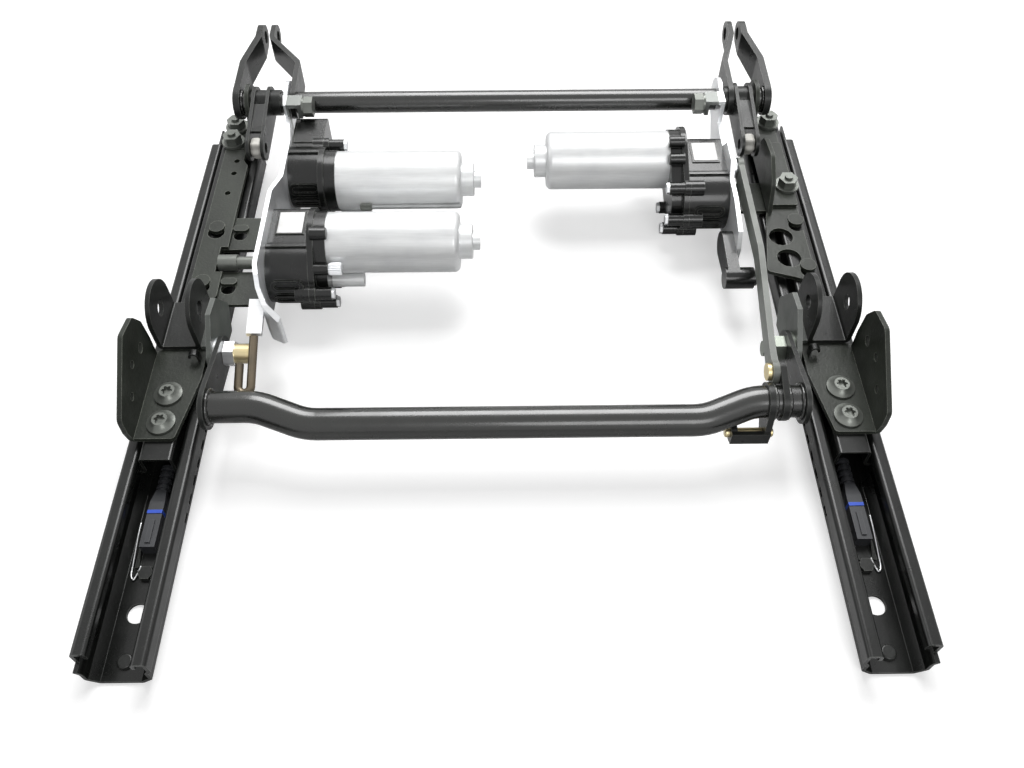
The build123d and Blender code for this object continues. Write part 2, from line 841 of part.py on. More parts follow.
# Lug under the right end of the front tube: an eyed plate round the tube, a web and a hanging
# plate, with a pin through both plates
lug_pin_y = front_tube_y - lug_pin_forward
lug_pin_z = front_tube_z - lug_pin_drop
lug_far = lug_place + lug_plate - lug_width
lug_front = lug_pin_y - lug_pin_diameter
lug_web_top = lug_pin_z + lug_pin_diameter
with BuildPart() as tube_lug:
    with BuildSketch(side_at(lug_place)):
        with Locations((front_tube_y, front_tube_z)):
            Circle(front_arm_eye)
        with Locations((lug_pin_y, lug_pin_z)):
            Circle(lug_pin_diameter)
        make_hull()
        with Locations((front_tube_y, front_tube_z)):
            Circle(front_tube_radius + weld_gap, mode=Mode.SUBTRACT)
    extrude(amount=lug_plate)
    with BuildSketch(side_at(lug_far)):
        with Locations((lug_pin_y, lug_pin_z)):
            Circle(lug_pin_diameter)
        with Locations((lug_front, lug_pin_z)):
            Rectangle(lug_web, lug_web_top - lug_pin_z, align=(Align.MIN, Align.MIN))
    extrude(amount=lug_plate)
    with BuildSketch(side_at(lug_far)):
        with Locations((lug_front, lug_web_top)):
            Rectangle(lug_web, lug_pin_diameter + lug_clear, align=(Align.MIN, Align.MAX))
    extrude(amount=lug_width)
    with BuildSketch(side_at(lug_far)):
        with Locations((lug_pin_y, lug_pin_z)):
            Circle(lug_pin_diameter / 2 + weld_gap)
    extrude(amount=lug_width, mode=Mode.SUBTRACT)
keep(tube_lug.part, "tube_lug")

with BuildPart() as lug_pin:
    with BuildSketch(side_at(lug_far - lug_pin_reach)):
        with Locations((lug_pin_y, lug_pin_z)):
            Circle(lug_pin_diameter / 2)
    extrude(amount=lug_width + 2 * lug_pin_reach)
    chamfer(lug_pin.edges().filter_by(GeomType.CIRCLE), length=0.6)

# Rod plate on the right end of the front tube, with the pin of the coupling rod
rod_plate_place = rod_front_place + rod_sheet + rod_side_gap
with BuildPart() as rod_plate:
    with BuildSketch(side_at(rod_plate_place)):
        with Locations((front_tube_y, front_tube_z)):
            Circle(front_arm_eye)
        with Locations((rod_lug_y, rod_lug_z)):
            Circle(rod_eye)
        make_hull()
        with Locations((front_tube_y, front_tube_z)):
            Circle(front_tube_radius + weld_gap, mode=Mode.SUBTRACT)
    extrude(amount=rod_sheet)
keep(rod_plate.part, "rod_plate")

with BuildPart() as rod_front_pin:
    with BuildSketch(side_at(rod_plate_place)):
        with Locations((rod_lug_y, rod_lug_z)):
            Circle(rod_pin / 2)
    extrude(amount=-(rod_sheet + 2 * rod_side_gap))
    with BuildSketch(side_at(rod_front_place - rod_side_gap)):
        with Locations((rod_lug_y, rod_lug_z)):
            Circle(rod_pin_head / 2)
    extrude(amount=-rod_pin_head_height)
keep(Compound(lug_pin.part.solids() + rod_front_pin.part.solids()), "front_tube_pins")

# Coupling rod: a long flat bar, joggled outwards behind the front arm
rod_shift_y = crank_y - front_pivot_y
rod_rear_y = rod_lug_y + rod_shift_y
rod_rear_z = rod_lug_z + crank_z - front_pivot_z
with BuildPart() as coupling_rod:
    with BuildSketch(Plane.XY.offset(rod_lug_z - 2 * rod_eye)):
        with BuildLine():
            rod_plan = FilletPolyline(
                (rod_front_place, rod_lug_y - 2 * rod_eye),
                (rod_front_place, rod_lug_y + rod_joggle_start),
                (rod_rear_place, rod_lug_y + rod_joggle_end),
                (rod_rear_place, rod_rear_y + 2 * rod_eye),
                radius=rod_joggle_radius,
            )
            offset(rod_plan, amount=rod_sheet, side=Side.RIGHT)
        make_face()
    extrude(amount=4 * rod_eye)
    with BuildSketch(side_at(rod_front_place - rod_sheet)):
        with BuildLine():
            Polyline(
                (rod_lug_y, rod_lug_z - rod_height / 2),
                (rod_rear_y, rod_rear_z - rod_height / 2),
                (rod_rear_y, rod_rear_z + rod_height / 2),
                (rod_lug_y, rod_lug_z + rod_height / 2),
                close=True,
            )
        make_face()
        with Locations((rod_lug_y, rod_lug_z), (rod_rear_y, rod_rear_z)):
            Circle(rod_eye)
        with Locations((rod_lug_y, rod_lug_z)):
            Circle(rod_pin / 2 + pivot_running_gap, mode=Mode.SUBTRACT)
        with Locations((rod_rear_y, rod_rear_z)):
            Circle(rod_pin / 2 + rod_open_gap, mode=Mode.SUBTRACT)
    extrude(amount=rod_rear_place - rod_front_place + 3 * rod_sheet, mode=Mode.INTERSECT)
keep(coupling_rod.part, "coupling_rod")

# Crank on the right gear unit, its pin and the spindle it turns on
crank_place = right_carrier_place + carrier_sheet + rod_side_gap
with BuildPart() as gear_crank:
    with BuildSketch(side_at(crank_place)):
        with Locations((crank_y, crank_z)):
            Circle(rod_eye + 1)
        with Locations((rod_rear_y, rod_rear_z)):
            Circle(rod_eye)
        make_hull()
        with Locations((crank_y, crank_z)):
            Circle(spindle_diameter / 2 + pivot_running_gap, mode=Mode.SUBTRACT)
    extrude(amount=crank_sheet)
keep(gear_crank.part, "gear_crank")

with BuildPart() as crank_pin:
    with BuildSketch(side_at(crank_place + crank_sheet)):
        with Locations((rod_rear_y, rod_rear_z)):
            Circle(rod_pin / 2)
    extrude(amount=rod_rear_place + rod_sheet + rod_side_gap - crank_place - crank_sheet)
keep(crank_pin.part, "crank_pin")

with BuildPart() as crank_spindle:
    with BuildSketch(side_at(right_carrier_place + carrier_sheet)):
        with Locations((crank_y, crank_z)):
            Circle(spindle_diameter / 2)
    extrude(amount=2 * rod_side_gap + crank_sheet + spindle_nut_height)
    with BuildSketch(side_at(crank_place + crank_sheet + rod_side_gap)):
        with Locations((crank_y, crank_z)):
            RegularPolygon(spindle_nut_diameter / 2, 6)
    extrude(amount=spindle_nut_height)
keep(crank_spindle.part, "crank_spindle")

# Rear torque tube with a sleeve at each end
with BuildPart() as rear_tube:
    with BuildSketch(side_at(-rear_tube_reach)):
        with Locations((rear_tube_y, rear_tube_z)):
            Circle(rear_tube_radius)
            Circle(rear_tube_radius - rear_tube_wall, mode=Mode.SUBTRACT)
    extrude(amount=2 * rear_tube_reach)
keep(rear_tube.part, "rear_torque_tube")

with BuildPart() as tube_sleeve:
    with BuildSketch(side_at(sleeve_start)):
        with Locations((rear_tube_y, rear_tube_z)):
            Circle(sleeve_diameter / 2)
            Circle(rear_tube_radius + weld_gap, mode=Mode.SUBTRACT)
    extrude(amount=sleeve_end - sleeve_start)
keep_group(tube_sleeve.part, "tube_sleeves")


def lift_arm(hub_place, clevis_place, sheet, bore):
    """A flat lift arm on the rear tube, joggled sideways to its place in the clevis."""
    start_y = rear_tube_y + arm_straight
    end_y = clevis_y - clevis_radius - clevis_straight
    with BuildPart() as arm:
        with BuildSketch(Plane.XY.offset(rear_tube_z - 2 * rear_hub)):
            with BuildLine():
                plan = FilletPolyline(
                    (hub_place, rear_tube_y - 2 * rear_hub),
                    (hub_place, start_y),
                    (clevis_place, end_y),
                    (clevis_place, clevis_y + 2 * rear_hub),
                    radius=arm_joggle_radius,
                )
                offset(plan, amount=sheet, side=Side.RIGHT)
            make_face()
        extrude(amount=5 * rear_hub)
        with BuildSketch(side_at(min(hub_place, clevis_place) - sheet)):
            with Locations((rear_tube_y, rear_tube_z)):
                Circle(arm_hub)
            with Locations((clevis_y, clevis_z)):
                Circle(clevis_radius)
            make_hull()
            with Locations((rear_tube_y, rear_tube_z)):
                Circle(bore, mode=Mode.SUBTRACT)
            with Locations((clevis_y, clevis_z)):
                Circle(clevis_hole / 2, mode=Mode.SUBTRACT)
        extrude(amount=abs(hub_place - clevis_place) + 3 * sheet, mode=Mode.INTERSECT)
    return arm.part


clevis_inner_place = clevis_outer_place - clevis_gap - inner_arm_sheet
outer_arm = lift_arm(
    outer_arm_place,
    clevis_outer_place,
    outer_arm_sheet,
    rear_tube_radius + weld_gap,
)
keep_group(outer_arm, "rear_outer_arms")
left_inner_arm = lift_arm(
    inner_arm_left,
    clevis_inner_place,
    inner_arm_sheet,
    rear_tube_radius + weld_gap,
)
keep(mirror(left_inner_arm, about=Plane.YZ), "rear_inner_arm_left")
right_inner_arm = lift_arm(
    inner_arm_right,
    clevis_inner_place,
    inner_arm_sheet,
    sleeve_diameter / 2 + weld_gap,
)
keep(right_inner_arm, "rear_inner_arm_right")

# Crank channels on the sleeves: two eyed plates joined by a web
channel_angle = degrees(atan2(-channel_drop, -channel_length))
with BuildPart() as crank_channel:
    with BuildSketch(side_at(channel_place)):
        with Locations((rear_tube_y, rear_tube_z)):
            Circle(front_arm_eye)
        with Locations((rear_tube_y - channel_length, rear_tube_z - channel_drop)):
            Circle(channel_eye)
        make_hull()
        with Locations((rear_tube_y, rear_tube_z)):
            Circle(sleeve_diameter / 2 + weld_gap, mode=Mode.SUBTRACT)
        with Locations((rear_tube_y - channel_length, rear_tube_z - channel_drop)):
            Circle(channel_pin_hole / 2, mode=Mode.SUBTRACT)
    extrude(amount=channel_width)
    with BuildSketch(side_at(channel_place + channel_sheet)):
        with Locations((rear_tube_y, rear_tube_z)):
            Rectangle(3 * channel_length, 3 * channel_length)
        with Locations(Location((rear_tube_y, rear_tube_z), channel_angle)):
            with Locations((channel_length / 2, -channel_eye + channel_sheet)):
                Rectangle(0.6 * channel_length, channel_sheet, mode=Mode.SUBTRACT)
    extrude(amount=channel_width - 2 * channel_sheet, mode=Mode.SUBTRACT)
keep_group(crank_channel.part, "crank_channels")

# Rear supports: a foot on the upper rail and an upright with the bearing of the rear tube
with BuildPart() as rear_support:
    with BuildSketch(side_at(support_place)):
        with Locations((rear_tube_y, rear_tube_z)):
            Circle(rear_hub)
        with Locations((support_front, upper_height)):
            Rectangle(support_length, bracket_sheet, align=(Align.MIN, Align.MIN))
        make_hull()
        with Locations((rear_tube_y, rear_tube_z)):
            Circle(rear_tube_radius + pivot_running_gap, mode=Mode.SUBTRACT)
    extrude(amount=support_sheet)
    with BuildSketch(Plane.XY.offset(upper_height)):
        with Locations((support_place, support_front)):
            Rectangle(
                rail_x + plate_outer - support_place,
                support_length,
                align=(Align.MIN, Align.MIN),
            )
    extrude(amount=bracket_sheet)
keep_group(rear_support.part, "rear_supports")

# Top plate of the left rail, notched for the drive shaft, with two shelves for its carrier plate
left_edge = rail_x - left_plate_inner
left_lances = [(rail_x - 4, 60), (rail_x - 3, 7)]
with BuildPart() as left_top_plate:
    with BuildSketch(Plane.XY.offset(upper_height)) as left_outline:
        with BuildLine():
            Polyline(
                (left_edge, left_plate_front),
                (rail_x + plate_outer, left_plate_front + 3),
                (rail_x + plate_outer, top_plate_rear),
                (left_edge + 4, top_plate_rear),
                (left_edge + 4, top_plate_rear - 12),
                (left_edge, top_plate_rear - 18),
                close=True,
            )
        make_face()
        fillet(left_outline.vertices().group_by(Axis.Y)[:2], radius=3)
        with Locations((left_edge, shaft_y + 4)):
            Rectangle(2 * notch_depth, notch_length, mode=Mode.SUBTRACT)
        with Locations((rail_x - 6, 135), (rail_x - 6, 121), (rail_x - 5, 99)):
            Circle(2.2, mode=Mode.SUBTRACT)
    extrude(amount=top_sheet)
    with BuildSketch(Plane.XY.offset(upper_height)):
        with Locations([(x, y - lance_shift) for x, y in left_lances]):
            Circle(lance_radius)
    extrude(amount=top_sheet, mode=Mode.SUBTRACT)
    with BuildSketch(Plane.XY.offset(upper_height + top_sheet / 2)):
        with Locations([(x, y + lance_shift) for x, y in left_lances]):
            Circle(lance_radius - 0.4)
    extrude(amount=top_sheet)
keep(mirror(left_top_plate.part, about=Plane.YZ), "top_plate_left")

# Top plates of the right rail: a long pierced plate, and a shorter one on it with an upright cheek
right_edge = rail_x - right_plate_inner
right_lances = [(rail_x + 1, 62), (rail_x + 1, right_plate_front + 9)]
with BuildPart() as right_front_plate:
    with BuildSketch(Plane.XY.offset(upper_height)) as right_outline:
        with BuildLine():
            Polyline(
                (right_edge, right_plate_front + 7),
                (rail_x + plate_outer, right_plate_front - 4),
                (rail_x + plate_outer, top_plate_rear),
                (rail_x - right_plate_tail, top_plate_rear),
                (rail_x - right_plate_tail, rear_plate_front + 4),
                (rail_x - right_plate_waist, cheek_front),
                close=True,
            )
        make_face()
        fillet(right_outline.vertices().group_by(Axis.Y)[:2], radius=3)
        with Locations((rail_x - 12.5, 48), (rail_x - 10.5, 27)):
            Circle(plate_hole / 2, mode=Mode.SUBTRACT)
    extrude(amount=top_sheet)
    with BuildSketch(Plane.XY.offset(upper_height)):
        with Locations([(x, y - lance_shift) for x, y in right_lances]):
            Circle(lance_radius)
    extrude(amount=top_sheet, mode=Mode.SUBTRACT)
    with BuildSketch(Plane.XY.offset(upper_height + top_sheet / 2)):
        with Locations([(x, y + lance_shift) for x, y in right_lances]):
            Circle(lance_radius - 0.4)
    extrude(amount=top_sheet)
keep(right_front_plate.part, "front_plate_right")

with BuildPart() as right_rear_plate:
    with BuildSketch(Plane.XY.offset(plate_top)) as rear_outline:
        with BuildLine():
            Polyline(
                (rail_x - cheek_inner, rear_plate_front),
                (rail_x + plate_outer, rear_plate_front),
                (rail_x + plate_outer, top_plate_rear),
                (rail_x - cheek_inner, top_plate_rear),
                close=True,
            )
        make_face()
        fillet(rear_outline.vertices(), radius=2)
    extrude(amount=top_sheet)
    with BuildSketch(side_at(rail_x - cheek_inner)) as cheek:
        with BuildLine():
            Polyline(
                (cheek_front, plate_top),
                (cheek_front + 9, plate_top + 0.66 * cheek_rise),
                (cheek_front + 0.38 * cheek_length, plate_top + cheek_rise),
                (cheek_front + 0.7 * cheek_length, plate_top + 0.9 * cheek_rise),
                (cheek_front + cheek_length, plate_top),
                close=True,
            )
        make_face()
        fillet(cheek.vertices().group_by(Axis.Y)[1:], radius=cheek_corner)
    extrude(amount=top_sheet)
keep(right_rear_plate.part, "rear_plate_right")

# Flange nuts on their studs: on the rear supports and on the right rear plate
with BuildPart() as stud_nuts:
    for nut_x, nut_seat_y, nut_seat_z in (
        (-rail_x, support_nut_rear, plate_top),
        (-rail_x, support_nut_front, plate_top),
        (rail_x, support_nut_rear, plate_top),
        (rail_x, rear_plate_nut, plate_top + top_sheet),
    ):
        with BuildSketch(Plane.XY.offset(nut_seat_z)):
            with Locations((nut_x, nut_seat_y)):
                Circle(flange_nut_diameter / 2)
        extrude(amount=nut_flange)
        with BuildSketch(Plane.XY.offset(nut_seat_z + nut_flange)):
            with Locations((nut_x, nut_seat_y)):
                RegularPolygon(flange_nut_across / 2, 6, major_radius=False)
        extrude(amount=flange_nut_height)
        with BuildSketch(Plane.XY.offset(nut_seat_z + nut_flange + flange_nut_height)):
            with Locations((nut_x, nut_seat_y)):
                Circle(stud_diameter / 2)
        extrude(amount=stud_rise - nut_flange - flange_nut_height)
keep(stud_nuts.part, "stud_nuts")


def carrier_plate(place, depth, bends, outline, bores):
    """A carrier plate from the rear tube past the gear units, with a stepped clamp leg on its eye."""
    rear_end = rear_tube_y + 2 * rear_hub
    with BuildPart() as carrier:
        with BuildSketch(Plane.XY):
            with BuildLine():
                plan = FilletPolyline((place, rear_end), *bends, radius=carrier_bend)
                offset(plan, amount=carrier_sheet, side=Side.LEFT)
            make_face()
        extrude(amount=rear_tube_z + 2 * rear_hub)
        with BuildSketch(side_at(place - depth)):
            with BuildLine():
                Polyline(outline, close=True)
            make_face()
            with Locations((rear_tube_y, rear_tube_z)):
                Circle(carrier_eye)
            with Locations((clamp_y, clamp_top)):
                Rectangle(clamp_width, clamp_depth, align=(Align.CENTER, Align.MAX))
            with Locations((rear_tube_y, rear_tube_z)):
                Circle(rear_tube_radius + pivot_running_gap, mode=Mode.SUBTRACT)
            for bore_y, bore_z, bore in bores:
                with Locations((bore_y, bore_z)):
                    Circle(bore, mode=Mode.SUBTRACT)
        extrude(amount=depth + 2 * carrier_sheet, mode=Mode.INTERSECT)
        with BuildSketch(side_at(place - clamp_reach)):
            with Locations((clamp_y, clamp_top)):
                Rectangle(clamp_width, carrier_sheet, align=(Align.CENTER, Align.MAX))
        extrude(amount=clamp_reach)
        with BuildSketch(side_at(place - clamp_reach)):
            with Locations((clamp_y, clamp_top)):
                Rectangle(clamp_width, clamp_leg, align=(Align.CENTER, Align.MAX))
        extrude(amount=carrier_sheet)
    return carrier.part


left_carrier = carrier_plate(
    left_carrier_place,
    left_carrier_place - left_rear_outer + 4 * carrier_sheet,
    [
        (left_carrier_place, rear_tube_y - 11),
        (left_rear_outer, left_rear_y + 13),
        (left_rear_outer, left_front_y + left_front_box + 20),
        (left_carrier_place, left_front_y + left_front_box + 5),
        (left_carrier_place, left_carrier_front + 35),
        (left_carrier_place - 4, left_carrier_front + 17),
        (left_carrier_place - 9, left_carrier_front + 6),
        (left_carrier_place - 17.5, left_carrier_front),
    ],
    [
        (left_carrier_front - 2, 50),
        (left_carrier_front + 5, 58),
        (left_carrier_front + 25, left_carrier_top),
        (rear_tube_y - 14, left_carrier_top),
        (rear_tube_y, rear_tube_z - carrier_eye),
        (rear_tube_y - 23, 30),
        (rear_tube_y - 41, carrier_bottom),
        (left_carrier_front + 29, carrier_bottom),
        (left_carrier_front - 2, 28),
    ],
    [(shaft_y, shaft_z, shaft_diameter / 2 + pivot_running_gap)],
)
with BuildPart() as left_carrier_tongue:
    add(left_carrier)
    with BuildSketch(side_at(left_rear_outer)):
        with BuildLine():
            Polyline(
                (tongue_rear, tongue_top + tongue_slope),
                (tongue_front, tongue_top),
                (tongue_front, tongue_top - carrier_sheet),
                (tongue_rear, tongue_top + tongue_slope - carrier_sheet),
                close=True,
            )
        make_face()
    extrude(amount=tongue_width)
keep(mirror(left_carrier_tongue.part, about=Plane.YZ), "carrier_plate_left")
right_carrier = carrier_plate(
    right_carrier_place,
    carrier_sheet,
    [
        (right_carrier_place, right_unit_y),
        (right_carrier_place + 0.01, right_carrier_front - 10),
    ],
    [
        (right_carrier_front, 40),
        (right_carrier_front + 6, right_carrier_top - 6),
        (right_unit_y - 26, right_carrier_top),
        (right_unit_y - 5, right_carrier_top),
        (right_unit_y + 3, right_carrier_lobe),
        (right_unit_y + 22, right_carrier_lobe),
        (right_unit_y + 32, right_carrier_top),
        (rear_tube_y - 14, right_carrier_top),
        (rear_tube_y, rear_tube_z - carrier_eye),
        (rear_tube_y - 23, 24),
        (rear_tube_y - 41, carrier_bottom),
        (right_carrier_front + 8, carrier_bottom),
        (right_carrier_front, 20),
    ],
    [],
)
keep(right_carrier, "carrier_plate_right")

# Shelves from the upper rails to the carrier plates, with lanced holes and lugs on the left pair
shelf_lance_x = -(rail_x - shelf_lance_inset)
with BuildPart() as shelves:
    with BuildSketch(Plane.XY.offset(upper_height)):
        for shelf_y, shelf_width in ((left_plate_front - 3, 30), (43, 32)):
            with Locations((-(rail_x - upper_half), shelf_y)):
                Rectangle(
                    rail_x - upper_half - left_carrier_place - carrier_sheet,
                    shelf_width,
                    align=(Align.MIN, Align.MIN),
                )
        with Locations((rail_x - upper_half, rear_plate_front)):
            Rectangle(
                rail_x - upper_half - right_carrier_place - carrier_sheet,
                30,
                align=(Align.MAX, Align.MIN),
            )
        with Locations((shelf_lance_x, 60 - lance_shift), (shelf_lance_x, 8 - lance_shift)):
            Circle(lance_radius - 1, mode=Mode.SUBTRACT)
    extrude(amount=-shelf_sheet)
keep(shelves.part, "carrier_shelves")

with BuildPart() as shelf_nuts:
    with BuildSketch(Plane.XY.offset(upper_height)):
        with Locations((shelf_lance_x, 60 + lance_shift), (shelf_lance_x, 8 + lance_shift)):
            SlotOverall(shelf_lug_length, shelf_lug_width)
    extrude(amount=shelf_lug_height)
keep(shelf_nuts.part, "shelf_nuts")

# Clamp bolts on the carrier legs, each with its washer
with BuildPart() as clamp_bolts:
    for side, place in ((-1, left_carrier_place), (1, right_carrier_place)):
        clamp_x = side * (place - clamp_reach)
        with BuildSketch(side_at(clamp_x)):
            with Locations((clamp_y, clamp_bolt_z)):
                Circle(clamp_washer / 2)
        extrude(amount=-side * clamp_washer_sheet)
        with BuildSketch(side_at(clamp_x - side * clamp_washer_sheet)):
            with Locations((clamp_y, clamp_bolt_z)):
                RegularPolygon(nut_across / 2, 6, major_radius=False)
        extrude(amount=-side * nut_height)
keep(clamp_bolts.part, "clamp_bolts")


def gear_housing(outer_x, length, centre_y, centre_z, reach, top, boss_places):
    """A hollow gear case along X, open towards its cover, with ribs on its front."""
    with BuildPart() as housing:
        with BuildSketch(side_at(outer_x)) as outline:
            with Locations((centre_y, centre_z)):
                Circle(drum_radius)
            with Locations((centre_y, centre_z - case_bottom)):
                Rectangle(reach, case_bottom + top, align=(Align.MIN, Align.MIN))
            fillet(outline.vertices().group_by(Axis.X)[-1], radius=4)
        extrude(amount=-length)
        with BuildSketch(side_at(outer_x - length)):
            with Locations(boss_places):
                Circle(cover_boss)
        extrude(amount=length / 3)
        with BuildSketch(side_at(outer_x - housing_wall)):
            with Locations((centre_y, centre_z)):
                Circle(drum_radius - housing_wall)
        extrude(amount=housing_wall - length, mode=Mode.SUBTRACT)
        for tilt in rib_tilts:
            rib_plane = Plane(
                origin=(
                    outer_x - length / 2,
                    centre_y - (drum_radius - 1) * cos(radians(tilt)),
                    centre_z + (drum_radius - 1) * sin(radians(tilt)),
                ),
                x_dir=(1, 0, 0),
                z_dir=(0, -cos(radians(tilt)), sin(radians(tilt))),
            )
            with BuildSketch(rib_plane):
                SlotOverall(rib_length, 4 * rib_width)
                SlotOverall(rib_length - 2 * rib_width, 2 * rib_width, mode=Mode.SUBTRACT)
            extrude(amount=1 + rib_height)
        with BuildSketch(Plane.XY.offset(centre_z + top)):
            with Locations((outer_x - length / 2, centre_y + reach / 2 + 3)):
                Rectangle(pad_width, pad_length)
        extrude(amount=pad_height)
        with BuildSketch(Plane.XY.offset(centre_z + drum_radius - 1)):
            with Locations((outer_x - length / 2, centre_y)):
                Rectangle(length, rib_width)
        extrude(amount=1 + rib_height)
    return housing.part


def gear_cover(outer_x, centre_y, centre_z, motor_y, motor_z, boss_places):
    """The cover between a gear case and its motor, with raised screw bosses."""
    with BuildPart() as cover:
        with BuildSketch(side_at(outer_x)):
            with Locations((centre_y, centre_z)):
                Circle(drum_radius)
            with Locations((motor_y, motor_z)):
                Circle(motor_radius + cover_edge)
            make_hull()
            with Locations(boss_places):
                Circle(cover_boss)
        extrude(amount=-cover_flange)
        with BuildSketch(side_at(outer_x)):
            with Locations((centre_y, centre_z)):
                Circle(drum_radius - cover_core)
            with Locations((motor_y, motor_z)):
                Circle(motor_radius + 1)
            make_hull()
        extrude(amount=-cover_thickness)
        with BuildSketch(side_at(outer_x)):
            with Locations(boss_places):
                Circle(cover_boss - 1)
        extrude(amount=-cover_thickness - boss_stand)
    return cover.part


def motor_can(start_x, axis_y, axis_z, pillar_y, pillar_z):
    """A deep-drawn motor can with a rounded end and a short pillar beside it."""
    with BuildPart() as can:
        with BuildSketch(side_at(start_x)):
            with Locations((axis_y, axis_z)):
                Circle(motor_radius)
        extrude(amount=-motor_length)
        fillet(can.faces().sort_by(Axis.X)[0].edges(), radius=motor_round)
        with BuildSketch(side_at(start_x)):
            with Locations((pillar_y, pillar_z)):
                Circle(pillar_radius)
        extrude(amount=-pillar_length)
    return can.part


def motor_cap(start_x, axis_y, axis_z):
    """The end cap of a motor with its bearing boss."""
    with BuildPart() as cap:
        with BuildSketch(side_at(start_x)):
            with Locations((axis_y, axis_z)):
                Circle(cap_radius)
        extrude(amount=-cap_length)
        fillet(cap.faces().sort_by(Axis.X)[0].edges(), radius=1)
        with BuildSketch(side_at(start_x - cap_length)):
            with Locations((axis_y, axis_z)):
                Circle(cap_boss_radius)
        extrude(amount=-cap_boss_length)
    return cap.part


# The three gear units: name, side, outer face, case length, drum centre, box, motor, boss angles
screw_seats = []
caps = []
for name, side, outer_x, length, centre_y, centre_z, reach, top, motor_y, turns in (
    (
        "left_front",
        -1,
        left_carrier_place,
        drum_length,
        left_front_y,
        left_front_z,
        left_front_box,
        case_top,
        left_front_motor,
        (180, 230, 290),
    ),
    (
        "left_rear",
        -1,
        left_rear_outer,
        drum_length - left_carrier_waist,
        left_rear_y,
        left_rear_z,
        left_rear_box,
        case_top_rear,
        left_rear_motor,
        (0, 45, 250, 300),
    ),
    (
        "right",
        1,
        right_carrier_place,
        drum_length,
        right_unit_y,
        right_unit_z,
        right_unit_box,
        case_top,
        right_unit_motor,
        (120, 180, 240, 300),
    ),
):
    boss_places = [
        (centre_y + drum_radius * cos(radians(turn)), centre_z + drum_radius * sin(radians(turn)))
        for turn in turns
    ]
    cover_x = outer_x - length
    motor_x = cover_x - cover_thickness
    pillar_y = motor_y + side * pillar_aside
    pillar_z = motor_axis_z - pillar_below
    screw_seats += [(side * (motor_x - boss_stand), y, z, side) for y, z in boss_places]
    housing = gear_housing(outer_x, length, centre_y, centre_z, reach, top, boss_places)
    cover = gear_cover(cover_x, centre_y, centre_z, motor_y, motor_axis_z, boss_places)
    can = motor_can(motor_x, motor_y, motor_axis_z, pillar_y, pillar_z)
    cap = motor_cap(motor_x - motor_length, motor_y, motor_axis_z)
    if side < 0:
        housing, cover, can, cap = [mirror(p, about=Plane.YZ) for p in (housing, cover, can, cap)]
    keep(housing, "gear_housing_" + name)
    keep(cover, "gear_cover_" + name)
    keep(can, "motor_can_" + name)
    caps += cap.solids()
keep(Compound(caps), "motor_caps")

# Cover screws on the bosses
with BuildPart() as cover_screws:
    for seat_x, seat_y, seat_z, side in screw_seats:
        with BuildSketch(side_at(seat_x)):
            with Locations((seat_y, seat_z)):
                RegularPolygon(cover_screw_across / 2, 6, major_radius=False)
        extrude(amount=-side * cover_screw_height)
keep(cover_screws.part, "cover_screws")

# Drive shaft from the left front gear unit to the left rail, with a thicker outer end
with BuildPart() as drive_shaft:
    with BuildSketch(side_at(-shaft_outer)):
        with Locations((shaft_y, shaft_z)):
            Circle(shaft_sleeve_diameter / 2)
    extrude(amount=shaft_sleeve_length)
    with BuildSketch(side_at(-shaft_outer + shaft_sleeve_length)):
        with Locations((shaft_y, shaft_z)):
            Circle(shaft_diameter / 2)
    extrude(amount=shaft_outer - shaft_sleeve_length - left_carrier_place - side_gap)
keep(drive_shaft.part, "drive_shaft")

# Drive end on the right carrier plate: an arm forwards, and a sleeve across its end
sleeve_place = right_carrier_place - end_arm_width
with BuildPart() as drive_sleeve:
    with BuildSketch(side_at(sleeve_place)):
        with Locations((end_sleeve_y, end_sleeve_z)):
            Circle(end_sleeve_diameter / 2)
        with Locations((end_sleeve_y + end_arm_reach, end_sleeve_z)):
            Circle(end_arm_foot)
        make_hull()
    extrude(amount=end_arm_width)
    with BuildSketch(side_at(sleeve_place - end_sleeve_lip)):
        with Locations((end_sleeve_y, end_sleeve_z)):
            Circle(end_sleeve_diameter / 2)
    extrude(amount=end_sleeve_length)
    with BuildSketch(side_at(sleeve_place - end_sleeve_lip + end_sleeve_length)):
        with Locations((end_sleeve_y, end_sleeve_z)):
            Circle(end_sleeve_diameter / 2 - end_sleeve_lip)
    extrude(amount=end_sleeve_lip)
keep(drive_sleeve.part, "drive_end_sleeve")
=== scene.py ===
import math

import bpy
import numpy as np
from mathutils import Matrix, Vector


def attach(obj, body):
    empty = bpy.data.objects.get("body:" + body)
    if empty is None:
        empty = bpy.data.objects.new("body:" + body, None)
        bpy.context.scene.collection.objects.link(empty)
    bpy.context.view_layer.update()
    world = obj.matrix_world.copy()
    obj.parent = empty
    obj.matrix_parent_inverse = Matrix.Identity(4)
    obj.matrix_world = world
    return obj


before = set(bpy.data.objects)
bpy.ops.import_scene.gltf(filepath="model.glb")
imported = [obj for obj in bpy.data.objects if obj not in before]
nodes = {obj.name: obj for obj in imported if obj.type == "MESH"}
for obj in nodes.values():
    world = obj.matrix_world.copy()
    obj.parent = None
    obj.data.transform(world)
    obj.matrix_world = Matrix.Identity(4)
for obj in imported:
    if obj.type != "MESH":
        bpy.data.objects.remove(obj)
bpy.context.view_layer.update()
scene = bpy.context.scene
scene.view_settings.view_transform = "Standard"

